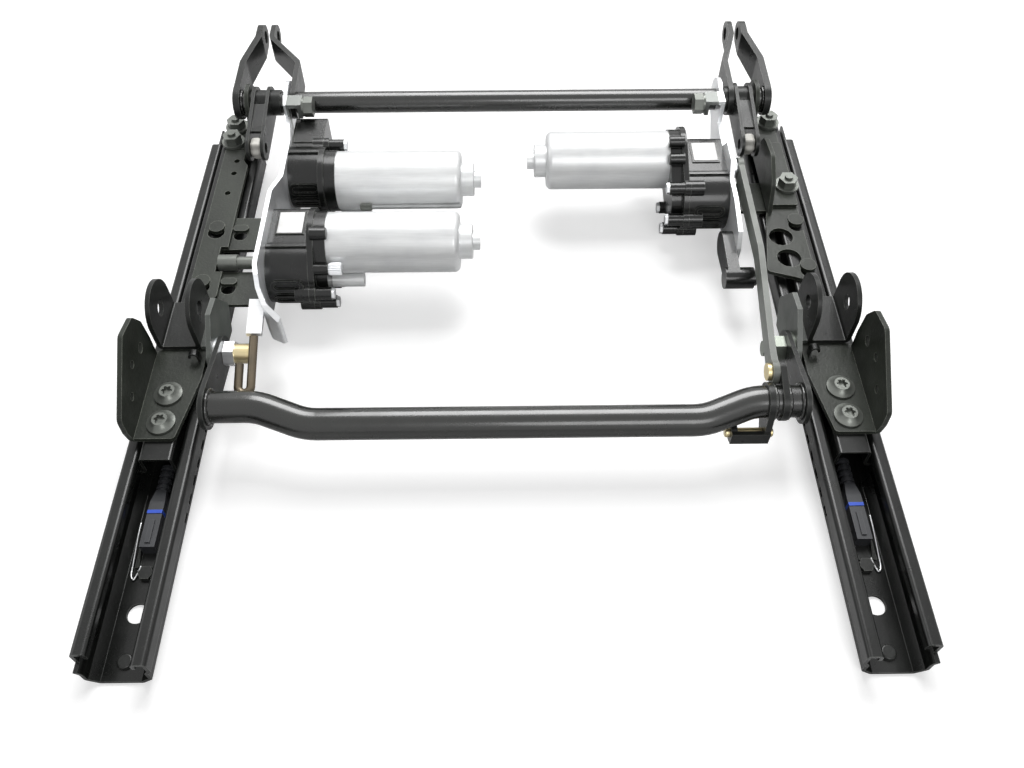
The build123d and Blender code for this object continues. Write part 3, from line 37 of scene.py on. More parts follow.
# The view: the frame is seen from its front, from half a metre above the floor, through a fairly
# wide lens. The camera's place and turn were worked out from the lines of its rails and tubes.
eye = Vector((0.001, -0.423, 0.500))
look_down = math.radians(53.69)
look_aside = math.radians(0.56)
roll = math.radians(-0.124)
lens_pixels = 915.0
frame_pixels = 1024.0
sensor_width = 36.0
nearest_seen = 0.01
camera_data = bpy.data.cameras.new("camera")
camera_data.sensor_width = sensor_width
camera_data.lens = lens_pixels / frame_pixels * camera_data.sensor_width
camera_data.clip_start = nearest_seen
camera = bpy.data.objects.new("camera", camera_data)
scene.collection.objects.link(camera)
forward = Vector(
    (
        math.sin(look_aside) * math.cos(look_down),
        math.cos(look_aside) * math.cos(look_down),
        -math.sin(look_down),
    )
)
turn = forward.to_track_quat("-Z", "Y").to_matrix() @ Matrix.Rotation(roll, 3, "Z")
camera.matrix_world = Matrix.Translation(eye) @ turn.to_4x4()
scene.camera = camera

# The studio: a plain pale floor and a white room. The camera, clear pieces and reflections see the
# room as white, and it gives a weak even light. Three large soft lamps light the frame from behind
# and above, from its front and from its left. The floor keeps the shadows.
white = (1, 1, 1, 1)
room_white = 1.0
room_light = 0.15
floor_half = 4.0
floor_colour = (0.66, 0.66, 0.66, 1)
floor_dull = 0.9
floor_glow_level = 0.52


def node_at(tree, kind, **values):
    """Adds one node to a tree and sets the values of its sockets and settings by name."""
    node = tree.nodes.new(kind)
    for name, value in values.items():
        if hasattr(node, name):
            setattr(node, name, value)
        else:
            node.inputs[name.replace("_", " ")].default_value = value
    return node


world = bpy.data.worlds.new("room")
world.use_nodes = True
scene.world = world
room = world.node_tree
room.nodes.clear()
soft_light = node_at(room, "ShaderNodeBackground", Color=white, Strength=room_light)
seen_light = node_at(room, "ShaderNodeBackground", Color=white, Strength=room_white)
rays = node_at(room, "ShaderNodeLightPath")
seen = node_at(room, "ShaderNodeMath", operation="MAXIMUM")
room.links.new(rays.outputs["Is Camera Ray"], seen.inputs[0])
room.links.new(rays.outputs["Is Transmission Ray"], seen.inputs[1])
room_mix = node_at(room, "ShaderNodeMixShader")
shown = node_at(room, "ShaderNodeMath", operation="MAXIMUM")
room.links.new(seen.outputs[0], shown.inputs[0])
room.links.new(rays.outputs["Is Glossy Ray"], shown.inputs[1])
room.links.new(shown.outputs[0], room_mix.inputs[0])
room.links.new(soft_light.outputs[0], room_mix.inputs[1])
room.links.new(seen_light.outputs[0], room_mix.inputs[2])
room_end = node_at(room, "ShaderNodeOutputWorld")
room.links.new(room_mix.outputs[0], room_end.inputs["Surface"])


def mesh_object(name, points, faces, smooth=True):
    """Makes a mesh object at the origin from arrays of points and faces, in metres."""
    mesh = bpy.data.meshes.new(name)
    mesh.from_pydata(np.asarray(points, dtype=float).tolist(), [], [tuple(f) for f in faces])
    mesh.update()
    mesh.polygons.foreach_set("use_smooth", [smooth] * len(mesh.polygons))
    made = bpy.data.objects.new(name, mesh)
    scene.collection.objects.link(made)
    return made


corners = np.array([(-1, -1, 0), (1, -1, 0), (1, 1, 0), (-1, 1, 0)]) * floor_half
floor = mesh_object("studio_floor", corners, [(0, 1, 2, 3)], smooth=False)
floor_look = bpy.data.materials.new("pale_floor")
floor_look.use_nodes = True
floor_tree = floor_look.node_tree
floor_shader = floor_tree.nodes["Principled BSDF"]
floor_shader.inputs["Base Color"].default_value = floor_colour
floor_shader.inputs["Roughness"].default_value = floor_dull
floor_shader.inputs["Specular IOR Level"].default_value = 0.0
floor_shader.inputs["Emission Color"].default_value = white
floor_rays = node_at(floor_tree, "ShaderNodeLightPath")
floor_glow = node_at(floor_tree, "ShaderNodeMath", operation="MULTIPLY")
floor_glow.inputs[1].default_value = floor_glow_level
floor_tree.links.new(floor_rays.outputs["Is Camera Ray"], floor_glow.inputs[0])
floor_tree.links.new(floor_glow.outputs[0], floor_shader.inputs["Emission Strength"])
floor.data.materials.append(floor_look)


def soft_lamp(name, place, aim, size, power):
    """A square area lamp at a place, turned to shine at a point."""
    data = bpy.data.lights.new(name, "AREA")
    data.shape = "SQUARE"
    data.size = size
    data.energy = power
    lamp = bpy.data.objects.new(name, data)
    way = Vector(aim) - Vector(place)
    lamp_turn = way.to_track_quat("-Z", "Y").to_matrix().to_4x4()
    lamp.matrix_world = Matrix.Translation(Vector(place)) @ lamp_turn
    scene.collection.objects.link(lamp)


soft_lamp("lamp_above", (0.1, 1.15, 1.6), (0, 0, 0), size=1.2, power=44)
soft_lamp("lamp_front", (0.4, -1.6, 1.5), (0, 0, 0.03), size=0.8, power=11)
soft_lamp("lamp_left", (-1.7, 0.2, 1.1), (0, 0, 0.03), size=0.9, power=4)

# The floor rails and the upper rails: folded steel channels dipped in black paint after forming.
# The paint is satin, a little mottled and finely pebbled, with a paler colour along the sharp edges
# that is partly where the paint thins over them and partly a painted highlight. The brackets,
# plates and arms further down have the same paint, each with its own tone.
edge_width = 0.0008
edge_start = 0.985
edge_full = 0.80
coat_dull = 0.12


def new_group(name, inputs, outputs):
    """An empty shader group with named inputs and outputs, and its two end nodes."""
    group = bpy.data.node_groups.new(name, "ShaderNodeTree")
    for label, kind, value in inputs:
        socket = group.interface.new_socket(label, in_out="INPUT", socket_type=kind)
        socket.default_value = value
    for label, kind in outputs:
        group.interface.new_socket(label, in_out="OUTPUT", socket_type=kind)
    return group, group.nodes.new("NodeGroupInput"), group.nodes.new("NodeGroupOutput")


def ramp(tree, source, stops):
    """A grey ramp on a value, from two or more pairs of place and grey level."""
    node = tree.nodes.new("ShaderNodeValToRGB")
    for index, (place, tone) in enumerate(stops):
        if index > 1:
            node.color_ramp.elements.new(place)
        stop = node.color_ramp.elements[index]
        stop.position = place
        stop.color = (tone, tone, tone, 1)
    tree.links.new(source, node.inputs["Fac"])
    return node.outputs["Color"]


def noise(tree, scale, detail=3.0, stretch=None):
    """Noise on the object's own coordinates, in features per metre, stretched if asked."""
    place = tree.nodes.new("ShaderNodeTexCoord").outputs["Object"]
    if stretch is not None:
        mapping = tree.nodes.new("ShaderNodeMapping")
        mapping.inputs["Scale"].default_value = stretch
        tree.links.new(place, mapping.inputs["Vector"])
        place = mapping.outputs["Vector"]
    texture = tree.nodes.new("ShaderNodeTexNoise")
    texture.inputs["Scale"].default_value = scale
    texture.inputs["Detail"].default_value = detail
    tree.links.new(place, texture.inputs["Vector"])
    return texture.outputs["Fac"]


def mixed(tree, factor, first, second, blend="MIX"):
    """A colour mix of two sources by a factor, each a socket, a number or a colour."""
    node = tree.nodes.new("ShaderNodeMix")
    node.data_type = "RGBA"
    node.blend_type = blend
    sources = ((node.inputs[0], factor), (node.inputs[6], first), (node.inputs[7], second))
    for socket, value in sources:
        if isinstance(value, (tuple, float, int)):
            socket.default_value = value
        else:
            tree.links.new(value, socket)
    return node.outputs[2]


# Edge mask: sharp edges, found from the bevel normal and broken by noise. The paler colour laid on
# it is partly real wear and partly a painted highlight of the edges.
edge_group, edge_in, edge_out = new_group(
    "edge_wear_and_highlight",
    [("Width", "NodeSocketFloat", edge_width)],
    [("Mask", "NodeSocketFloat")],
)
rounded = edge_group.nodes.new("ShaderNodeBevel")
rounded.samples = 4
edge_group.links.new(edge_in.outputs["Width"], rounded.inputs["Radius"])
flat_normal = edge_group.nodes.new("ShaderNodeNewGeometry")
likeness = node_at(edge_group, "ShaderNodeVectorMath", operation="DOT_PRODUCT")
edge_group.links.new(rounded.outputs["Normal"], likeness.inputs[0])
edge_group.links.new(flat_normal.outputs["Normal"], likeness.inputs[1])
sharpness = node_at(edge_group, "ShaderNodeMapRange")
sharpness.inputs["From Min"].default_value = edge_start
sharpness.inputs["From Max"].default_value = edge_full
edge_group.links.new(likeness.outputs["Value"], sharpness.inputs["Value"])
broken = node_at(edge_group, "ShaderNodeMath", operation="MULTIPLY")
edge_group.links.new(sharpness.outputs["Result"], broken.inputs[0])
edge_group.links.new(noise(edge_group, scale=260, detail=4), broken.inputs[1])
edge_group.links.new(broken.outputs[0], edge_out.inputs["Mask"])

surface_outputs = [
    ("Color", "NodeSocketColor"),
    ("Roughness", "NodeSocketFloat"),
    ("Height", "NodeSocketFloat"),
]
paint_group, paint_in, paint_out = new_group(
    "dipped_paint",
    [
        ("Paint", "NodeSocketColor", (0.02, 0.02, 0.02, 1)),
        ("Thin and highlight", "NodeSocketColor", (0.10, 0.10, 0.10, 1)),
        ("Dull", "NodeSocketFloat", 0.4),
    ],
    surface_outputs,
)
mottle = ramp(paint_group, noise(paint_group, scale=38, detail=5), [(0.3, 0.72), (0.7, 1.35)])
mottled = mixed(paint_group, 1.0, paint_in.outputs["Paint"], mottle, "MULTIPLY")
speck = ramp(paint_group, noise(paint_group, scale=1500, detail=2), [(0.60, 0.0), (0.78, 0.14)])
dusted = mixed(paint_group, speck, mottled, paint_in.outputs["Thin and highlight"])
# Paler colour on the sharp edges: partly worn paint, partly a painted highlight.
worn_and_lit_edges = paint_group.nodes.new("ShaderNodeGroup")
worn_and_lit_edges.node_tree = edge_group
coated = mixed(paint_group, worn_and_lit_edges.outputs["Mask"], dusted, paint_in.outputs["Thin and highlight"])
paint_group.links.new(coated, paint_out.inputs["Color"])
cloudy = ramp(paint_group, noise(paint_group, scale=70, detail=3), [(0.3, 0.86), (0.75, 1.2)])
dulled = node_at(paint_group, "ShaderNodeMath", operation="MULTIPLY")
paint_group.links.new(cloudy, dulled.inputs[0])
paint_group.links.new(paint_in.outputs["Dull"], dulled.inputs[1])
paint_group.links.new(dulled.outputs[0], paint_out.inputs["Roughness"])
paint_group.links.new(noise(paint_group, scale=520, detail=2), paint_out.inputs["Height"])


def grouped_look(name, group, values, bump, depth, metallic=0.0, coat=0.0, shine=0.5):
    """A material whose colour, roughness and bump come from a group with its own values."""
    look = bpy.data.materials.new(name)
    look.use_nodes = True
    tree = look.node_tree
    shader = tree.nodes["Principled BSDF"]
    shader.inputs["Metallic"].default_value = metallic
    shader.inputs["Coat Weight"].default_value = coat
    shader.inputs["Specular IOR Level"].default_value = shine
    shader.inputs["Coat Roughness"].default_value = coat_dull
    effect = tree.nodes.new("ShaderNodeGroup")
    effect.node_tree = group
    for label, value in values.items():
        effect.inputs[label].default_value = value
    relief = tree.nodes.new("ShaderNodeBump")
    relief.inputs["Strength"].default_value = bump
    relief.inputs["Distance"].default_value = depth
    tree.links.new(effect.outputs["Color"], shader.inputs["Base Color"])
    tree.links.new(effect.outputs["Roughness"], shader.inputs["Roughness"])
    tree.links.new(effect.outputs["Height"], relief.inputs["Height"])
    tree.links.new(relief.outputs["Normal"], shader.inputs["Normal"])
    return look


def dress(look, *names):
    """Gives a material to every slot of the named CAD nodes."""
    for name in names:
        for place in nodes[name].material_slots:
            place.material = look


rail_paint = {"Paint": (0.006, 0.0065, 0.006, 1), "Thin and highlight": (0.16, 0.17, 0.155, 1), "Dull": 0.30}
rail_look = grouped_look(
    "rail_coat", paint_group, rail_paint, bump=0.12, depth=0.0003, coat=0.2, shine=0.3
)
dress(rail_look, "lower_rail_left", "lower_rail_right", "upper_rail_left", "upper_rail_right")

# The brackets and plates: thicker steel pressings bolted or riveted on the upper rails. They have
# the same paint, drier and greener on their broad flat faces, where its pebbles catch the light.
# The raised lugs of the shelves have it too.
plate_paint = {"Paint": (0.020, 0.0235, 0.018, 1), "Thin and highlight": (0.36, 0.38, 0.33, 1), "Dull": 0.40}
plate_look = grouped_look("plate_coat", paint_group, plate_paint, bump=0.3, depth=0.0004, shine=0.3)
dress(
    plate_look,
    "front_brackets",
    "top_plate_left",
    "front_plate_right",
    "rear_plate_right",
    "carrier_shelves",
    "rear_supports",
    "shelf_nuts",
)

# The saddle brackets, the lift arms and the crank channels: pressed steel, welded to the tubes or
# bolted to the rails, with a blacker and smoother coat. The small fasteners in the rail floors and
# the spring clips of the wiring plugs are as black.
arm_paint = {"Paint": (0.018, 0.019, 0.018, 1), "Thin and highlight": (0.20, 0.21, 0.19, 1), "Dull": 0.30}
arm_look = grouped_look("arm_coat", paint_group, arm_paint, bump=0.2, depth=0.0003, shine=0.3)
dress(
    arm_look,
    "saddle_brackets",
    "front_arms",
    "tube_lug",
    "rod_plate",
    "rear_outer_arms",
    "rear_inner_arm_left",
    "rear_inner_arm_right",
    "crank_channels",
    "tube_sleeves",
    "floor_fasteners",
    "plug_clips",
)

# The coupling rod: a flat steel bar, cranked twice, with an eye at each end. Its coat is worn to a
# satin grey. It joins the front lift to the gear crank.
rod_paint = {"Paint": (0.15, 0.16, 0.145, 1), "Thin and highlight": (0.42, 0.43, 0.40, 1), "Dull": 0.42}
rod_look = grouped_look("rod_coat", paint_group, rod_paint, bump=0.25, depth=0.0003)
dress(rod_look, "coupling_rod")

# The pivot plates: sloping steel plates that hang inside the saddle brackets and carry the pivots
# of the front arms. Their paint is thin and greyer than the rest.
pivot_paint = {"Paint": (0.10, 0.11, 0.10, 1), "Thin and highlight": (0.42, 0.43, 0.41, 1), "Dull": 0.36}
pivot_look = grouped_look("pivot_plate_coat", paint_group, pivot_paint, bump=0.2, depth=0.0003)
dress(pivot_look, "pivot_plates")

# The torque tubes: drawn steel tubes across the frame, the front one cranked twice. Their smooth
# glossy black coat shows long highlights.
tube_paint = {"Paint": (0.010, 0.0108, 0.0092, 1), "Thin and highlight": (0.12, 0.12, 0.11, 1), "Dull": 0.27}
tube_look = grouped_look("tube_coat", paint_group, tube_paint, bump=0.05, depth=0.0002, coat=0.5)
dress(tube_look, "front_torque_tube", "rear_torque_tube")

# The gear crank, its pin and spindle and the cover screws: bright zinc-plated steel. The plating
# has a faint drawn grain along the piece and a milky bloom. Other plated pieces further down use it
# with their own tones.
drawn_stretch = (1, 14, 14)
zinc_group, zinc_in, zinc_out = new_group(
    "zinc_plating",
    [
        ("Metal", "NodeSocketColor", (0.8, 0.8, 0.82, 1)),
        ("Bloom", "NodeSocketColor", (0.6, 0.62, 0.64, 1)),
        ("Dull", "NodeSocketFloat", 0.3),
    ],
    surface_outputs,
)
bloom = ramp(zinc_group, noise(zinc_group, scale=55, detail=6), [(0.42, 0.0), (0.72, 0.8)])
bloomed = mixed(zinc_group, bloom, zinc_in.outputs["Metal"], zinc_in.outputs["Bloom"])
drawn_grain = noise(zinc_group, scale=60, detail=3, stretch=drawn_stretch)
drawn = ramp(zinc_group, drawn_grain, [(0.35, 0.96), (0.7, 1.03)])
grained = mixed(zinc_group, 1.0, bloomed, drawn, "MULTIPLY")
zinc_group.links.new(grained, zinc_out.inputs["Color"])
streaks = ramp(zinc_group, drawn_grain, [(0.3, 0.9), (0.75, 1.15)])
satin = node_at(zinc_group, "ShaderNodeMath", operation="MULTIPLY")
zinc_group.links.new(streaks, satin.inputs[0])
zinc_group.links.new(zinc_in.outputs["Dull"], satin.inputs[1])
zinc_group.links.new(satin.outputs[0], zinc_out.inputs["Roughness"])
zinc_group.links.new(noise(zinc_group, scale=700, detail=2), zinc_out.inputs["Height"])

bright_zinc = {"Metal": (0.90, 0.91, 0.92, 1), "Bloom": (0.74, 0.76, 0.78, 1), "Dull": 0.34}
zinc_look = grouped_look(
    "bright_zinc", zinc_group, bright_zinc, bump=0.1, depth=0.0002, metallic=0.85
)
dress(zinc_look, "gear_crank", "crank_pin", "crank_spindle", "cover_screws")

# The pivot studs and washers: turned steel studs with hexagon nuts that hold the front arms. They
# are bright zinc on the left of the frame. On the right a plain greenish grey is laid over them.
right_side_grey = (0.22, 0.24, 0.21, 1)


def where(tree, axis, relation, limit, mirrored=False):
    """One where the object's own coordinate on an axis passes a limit, else nought."""
    spot = tree.nodes.new("ShaderNodeSeparateXYZ")
    tree.links.new(tree.nodes.new("ShaderNodeTexCoord").outputs["Object"], spot.inputs[0])
    place = spot.outputs[axis]
    if mirrored:
        size = node_at(tree, "ShaderNodeMath", operation="ABSOLUTE")
        tree.links.new(place, size.inputs[0])
        place = size.outputs[0]
    test = node_at(tree, "ShaderNodeMath", operation=relation)
    test.inputs[1].default_value = limit
    tree.links.new(place, test.inputs[0])
    return test.outputs[0]


def tinted(look, mask, tone):
    """Lays a plain tone over a material's colour where a mask is one."""
    tree = look.node_tree
    colour = tree.nodes["Principled BSDF"].inputs["Base Color"]
    tree.links.new(mixed(tree, mask, colour.links[0].from_socket, tone), colour)


pivot_zinc_look = grouped_look(
    "pivot_zinc", zinc_group, bright_zinc, bump=0.1, depth=0.0002, metallic=0.85
)
# A plain greenish grey is laid over the pieces on the right side of the frame.
right_side_mask = where(pivot_zinc_look.node_tree, "X", "GREATER_THAN", 0.0)
tinted(pivot_zinc_look, right_side_mask, right_side_grey)
dress(pivot_zinc_look, "pivot_washers", "pivot_studs")

# The carrier plates: long zinc-plated pressings that carry the gear units, held by shelves and by
# clamp bolts. Their clamp legs at the rear are a duller grey.
clamp_leg_grey = (0.20, 0.21, 0.20, 1)
clamp_leg_reach = 0.1612
clamp_leg_front = 0.1465
carrier_look = grouped_look(
    "carrier_zinc", zinc_group, bright_zinc, bump=0.1, depth=0.0002, metallic=0.6
)
carrier_tree = carrier_look.node_tree
inside = where(carrier_tree, "X", "LESS_THAN", clamp_leg_reach, mirrored=True)
behind = where(carrier_tree, "Y", "GREATER_THAN", clamp_leg_front)
leg = node_at(carrier_tree, "ShaderNodeMath", operation="MULTIPLY")
carrier_tree.links.new(inside, leg.inputs[0])
carrier_tree.links.new(behind, leg.inputs[1])
tinted(carrier_look, leg.outputs[0], clamp_leg_grey)
dress(carrier_look, "carrier_plate_left", "carrier_plate_right")

# The motor cans and their end caps: deep-drawn steel with a pale satin plating, screwed to the gear
# covers. The hidden lead screws in the rails have the same finish.
can_zinc = {"Metal": (0.82, 0.83, 0.83, 1), "Bloom": (0.74, 0.75, 0.76, 1), "Dull": 0.36}
can_look = grouped_look("motor_zinc", zinc_group, can_zinc, bump=0.06, depth=0.0002, metallic=0.3)
dress(can_look, "motor_can_left_front", "motor_can_left_rear", "motor_can_right", "motor_caps")
dress(can_look, "lead_screw_left", "lead_screw_right")

# The pivot bush and the pins of the front tube: turned steel with yellow zinc plating. The bush
# sits on the left stud, the pins in the lug and the rod plate.
warm_zinc = {"Metal": (0.74, 0.62, 0.34, 1), "Bloom": (0.60, 0.52, 0.36, 1), "Dull": 0.32}
warm_look = grouped_look("yellow_zinc", zinc_group, warm_zinc, bump=0.1, depth=0.0002, metallic=0.8)
dress(warm_look, "pivot_bush", "front_tube_pins")

# The rod hook: a bent round steel rod, brown-black from its heat treatment, hooked on the left
# pivot bush.
hook_zinc = {"Metal": (0.16, 0.13, 0.09, 1), "Bloom": (0.09, 0.08, 0.06, 1), "Dull": 0.36}
hook_look = grouped_look("hook_steel", zinc_group, hook_zinc, bump=0.1, depth=0.0002, metallic=0.6)
dress(hook_look, "rod_hook")

# The bolts and nuts: flanged six-lobe bolts of the front brackets, flange nuts of the plates and
# clamp bolts of the carrier plates, all phosphated grey steel, as the drive shaft is.
bolt_steel = {"Metal": (0.16, 0.17, 0.155, 1), "Bloom": (0.22, 0.23, 0.21, 1), "Dull": 0.34}
bolt_look = grouped_look(
    "phosphated_bolt", zinc_group, bolt_steel, bump=0.15, depth=0.0002, metallic=0.5
)
dress(bolt_look, "front_bolts", "stud_nuts", "clamp_bolts", "drive_shaft")

# The gear units: housings and covers moulded in glass-filled black plastic with a fine texture,
# screwed to the carrier plates. Their edges are paler, partly worn and partly a painted highlight.
# The drive end sleeve is moulded of the same plastic.
plastic_group, plastic_in, plastic_out = new_group(
    "moulded_plastic",
    [
        ("Plastic", "NodeSocketColor", (0.02, 0.02, 0.02, 1)),
        ("Scuff and highlight", "NodeSocketColor", (0.08, 0.08, 0.08, 1)),
        ("Dull", "NodeSocketFloat", 0.45),
    ],
    surface_outputs,
)
# Paler colour on the sharp edges: partly worn plastic, partly a painted highlight.
rubbed_and_lit_edges = plastic_group.nodes.new("ShaderNodeGroup")
rubbed_and_lit_edges.node_tree = edge_group
plain, scuff_and_highlight = plastic_in.outputs["Plastic"], plastic_in.outputs["Scuff and highlight"]
scuffed_and_edge_lit = mixed(plastic_group, rubbed_and_lit_edges.outputs["Mask"], plain, scuff_and_highlight)
flow = ramp(plastic_group, noise(plastic_group, scale=45, detail=4), [(0.3, 0.8), (0.7, 1.25)])
flowed = mixed(plastic_group, 1.0, scuffed_and_edge_lit, flow, "MULTIPLY")
plastic_group.links.new(flowed, plastic_out.inputs["Color"])
sheen_patches = ramp(
    plastic_group, noise(plastic_group, scale=90, detail=3), [(0.3, 0.85), (0.7, 1.2)]
)
matt = node_at(plastic_group, "ShaderNodeMath", operation="MULTIPLY")
plastic_group.links.new(sheen_patches, matt.inputs[0])
plastic_group.links.new(plastic_in.outputs["Dull"], matt.inputs[1])
plastic_group.links.new(matt.outputs[0], plastic_out.inputs["Roughness"])
plastic_group.links.new(noise(plastic_group, scale=1400, detail=2), plastic_out.inputs["Height"])

# The pale edge colour of the gear cases is partly wear and partly a painted highlight of their
# ridges.
case_plastic = {"Plastic": (0.008, 0.0085, 0.008, 1), "Scuff and highlight": (0.20, 0.21, 0.19, 1), "Dull": 0.24}
case_look = grouped_look(
    "case_plastic", plastic_group, case_plastic, bump=0.25, depth=0.0002, coat=0.3, shine=0.3
)
dress(
    case_look,
    "gear_housing_left_front",
    "gear_housing_left_rear",
    "gear_housing_right",
    "gear_cover_left_front",
    "gear_cover_left_rear",
    "gear_cover_right",
    "drive_end_sleeve",
)

# The wiring plugs: dark grey moulded bodies with ribbed rubber boots, clipped on the rail floors.
# A blue silicone seal shows between body and boot.
plug_plastic = {"Plastic": (0.03, 0.032, 0.036, 1), "Scuff and highlight": (0.10, 0.10, 0.11, 1), "Dull": 0.42}
plug_look = grouped_look("plug_plastic", plastic_group, plug_plastic, bump=0.2, depth=0.0002)
dress(plug_look, "plug_bodies", "plug_boots")
blue_silicone = {"Plastic": (0.02, 0.08, 0.55, 1), "Scuff and highlight": (0.10, 0.20, 0.70, 1), "Dull": 0.4}
seal_look = grouped_look("blue_silicone", plastic_group, blue_silicone, bump=0.1, depth=0.0002)
dress(seal_look, "plug_seals")

# The slide glides, lead nuts and screw blocks: natural white plastic, hidden between the rails. The
# glides are pushed on the upper rails, the nuts and blocks hold the lead screws.
natural_plastic = {"Plastic": (0.55, 0.54, 0.50, 1), "Scuff and highlight": (0.65, 0.64, 0.60, 1), "Dull": 0.4}
glide_look = grouped_look("glide_plastic", plastic_group, natural_plastic, bump=0.1, depth=0.0002)
dress(glide_look, "slide_glides", "lead_nuts", "screw_blocks")

# The cover posts: short round posts moulded on the gear covers beside the motors, in the same black
# plastic. The lowest one on the left has a knurled zinc ferrule pressed on its end.
millimetre = 0.001
full_turn = 2 * math.pi
bevel_segments = 2
bevel_from_angle = math.radians(40)


def skin_faces(rings, sides, closed):
    """Quads between neighbouring rings of points. The ends meet if closed, or get a disc each."""
    ring = np.arange(rings if closed else rings - 1)[:, None] * sides
    after = (ring + sides) % (rings * sides)
    place = np.arange(sides)[None, :]
    beside = (place + 1) % sides
    quads = np.stack((ring + place, ring + beside, after + beside, after + place), axis=-1)
    walls = [tuple(quad) for quad in quads.reshape(-1, 4).tolist()]
    if closed:
        return walls
    last_ring = range((rings - 1) * sides, rings * sides)
    return walls + [tuple(range(sides))[::-1], tuple(last_ring)]


def turned(name, centre, profile, lobes=0, lobe_depth=0.0, sides=48):
    """Turns x places and radii about a line along X through a centre; lobes wave the radius."""
    profile = np.asarray(profile, dtype=float) * millimetre
    turns = np.linspace(0, full_turn, sides, endpoint=False)
    radius = profile[:, 1:2] * (1 + lobe_depth * np.cos(lobes * turns))[None, :]
    along = np.broadcast_to(profile[:, 0:1], radius.shape)
    across = centre[0] * millimetre + radius * np.cos(turns)
    upward = centre[1] * millimetre + radius * np.sin(turns)
    points = np.stack((along, across, upward), axis=-1).reshape(-1, 3)
    return mesh_object(name, points, skin_faces(len(profile), sides, False), smooth=False)


def flipped(profile):
    """The same profile on the other side of the frame, still from low x to high x."""
    return [(-x, radius) for x, radius in reversed(profile)]


def finish(piece, look, body):
    """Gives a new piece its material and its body."""
    piece.data.materials.append(look)
    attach(piece, body)


def soften(piece, width):
    """Rounds a piece's sharp edges by a small bevel, its width in millimetres."""
    bevel = piece.modifiers.new("rounded", "BEVEL")
    bevel.width = width * millimetre
    bevel.segments = bevel_segments
    bevel.limit_method = "ANGLE"
    bevel.angle_limit = bevel_from_angle


post_profile = [(118.6, 2.2), (118.6, 3.6), (119.2, 4.1), (130.0, 4.4), (130.0, 2.2)]
ferrule_profile = [
    (109.8, 1.2),
    (109.8, 3.6),
    (110.6, 4.1),
    (117.4, 4.1),
    (118.8, 3.5),
    (118.8, 1.2),
]
right_post_shift = 1.6
post_rounding = 0.35
for name, side, centre in (
    ("left_low", -1, (8.0, 47.0)),
    ("left_high", -1, (21.8, 66.7)),
    ("right_low", 1, (98.6, 62.6)),
    ("right_high", 1, (110.0, 69.0)),
):
    if side > 0:
        profile = [(x + right_post_shift, radius) for x, radius in post_profile]
    else:
        profile = flipped(post_profile)
    post = turned("cover_post_" + name, centre, profile)
    soften(post, post_rounding)
    finish(post, case_look, "carriage")
    if name == "left_low":
        knurled = flipped(ferrule_profile)
        ferrule = turned(
            "cover_ferrule_" + name, centre, knurled, lobes=18, lobe_depth=0.07, sides=108
        )
        finish(ferrule, zinc_look, "carriage")

# The blank labels: plain white film pads on top of the two gear cases that carry one, slightly
# lifted along their edges. They are bare: nothing is printed on them.
label_white = {"Plastic": (0.78, 0.78, 0.77, 1), "Scuff and highlight": (0.86, 0.86, 0.85, 1), "Dull": 0.36}
film_thickness = 0.12
film_clearance = 0.12
film_edge_lift = 0.05
film_wave = 0.02
label_look = grouped_look("blank_label_film", plastic_group, label_white, bump=0.05, depth=0.0001)


def film_pad(name, middle, half, top):
    """A thin film over a rectangle. Its height above the case is an even clearance, plus the sixth
    powers of the distances from the middle, which lift the edges, plus a small sine wave."""
    count = 15
    line = np.linspace(-1, 1, count)
    across, along = np.meshgrid(line, line, indexing="ij")
    edges = film_edge_lift * np.abs(across) ** 6 + film_edge_lift * np.abs(along) ** 6
    lift = film_clearance + edges + film_wave * np.sin(3 * across + 2 * along)
    x, y = middle[0] + half[0] * across, middle[1] + half[1] * along
    points = np.stack((x, y, top + lift), axis=-1)
    index = np.arange(count * count).reshape(count, count)
    quads = np.stack((index[:-1, :-1], index[1:, :-1], index[1:, 1:], index[:-1, 1:]), axis=-1)
    film = mesh_object(name, points.reshape(-1, 3) * millimetre, quads.reshape(-1, 4).tolist())
    wall = film.modifiers.new("film", "SOLIDIFY")
    wall.thickness = film_thickness * millimetre
    wall.offset = -1
    finish(film, label_look, "carriage")


film_pad("blank_label_left", middle=(-147.0, 43.4), half=(8.6, 10.2), top=56.3)
film_pad("blank_label_right", middle=(148.6, 113.2), half=(8.8, 9.8), top=57.3)

# The tie rod of the left rear motor: a thin zinc-plated rod along the can that draws its end cap
# on, with a turned steel head at the cover's end.
tie_centre = (76.35, 40.2)
tie_profile = [(-98.0, 0.9), (-98.0, 1.5), (-97.6, 1.7), (-31.2, 1.7), (-30.6, 1.1)]
dull_zinc = {"Metal": (0.42, 0.43, 0.43, 1), "Bloom": (0.32, 0.33, 0.33, 1), "Dull": 0.38}
dull_zinc_look = grouped_look(
    "dull_zinc", zinc_group, dull_zinc, bump=0.1, depth=0.0002, metallic=0.5
)
tie_rod = turned("motor_tie_rod", tie_centre, tie_profile, sides=24)
finish(tie_rod, dull_zinc_look, "carriage")
head_profile = [
    (-104.0, 1.0),
    (-104.0, 2.4),
    (-102.4, 2.9),
    (-97.0, 2.9),
    (-95.4, 2.2),
    (-95.4, 1.0),
]
tie_head = turned("motor_tie_head", tie_centre, head_profile, lobes=12, lobe_depth=0.10, sides=72)
finish(tie_head, bolt_look, "carriage")

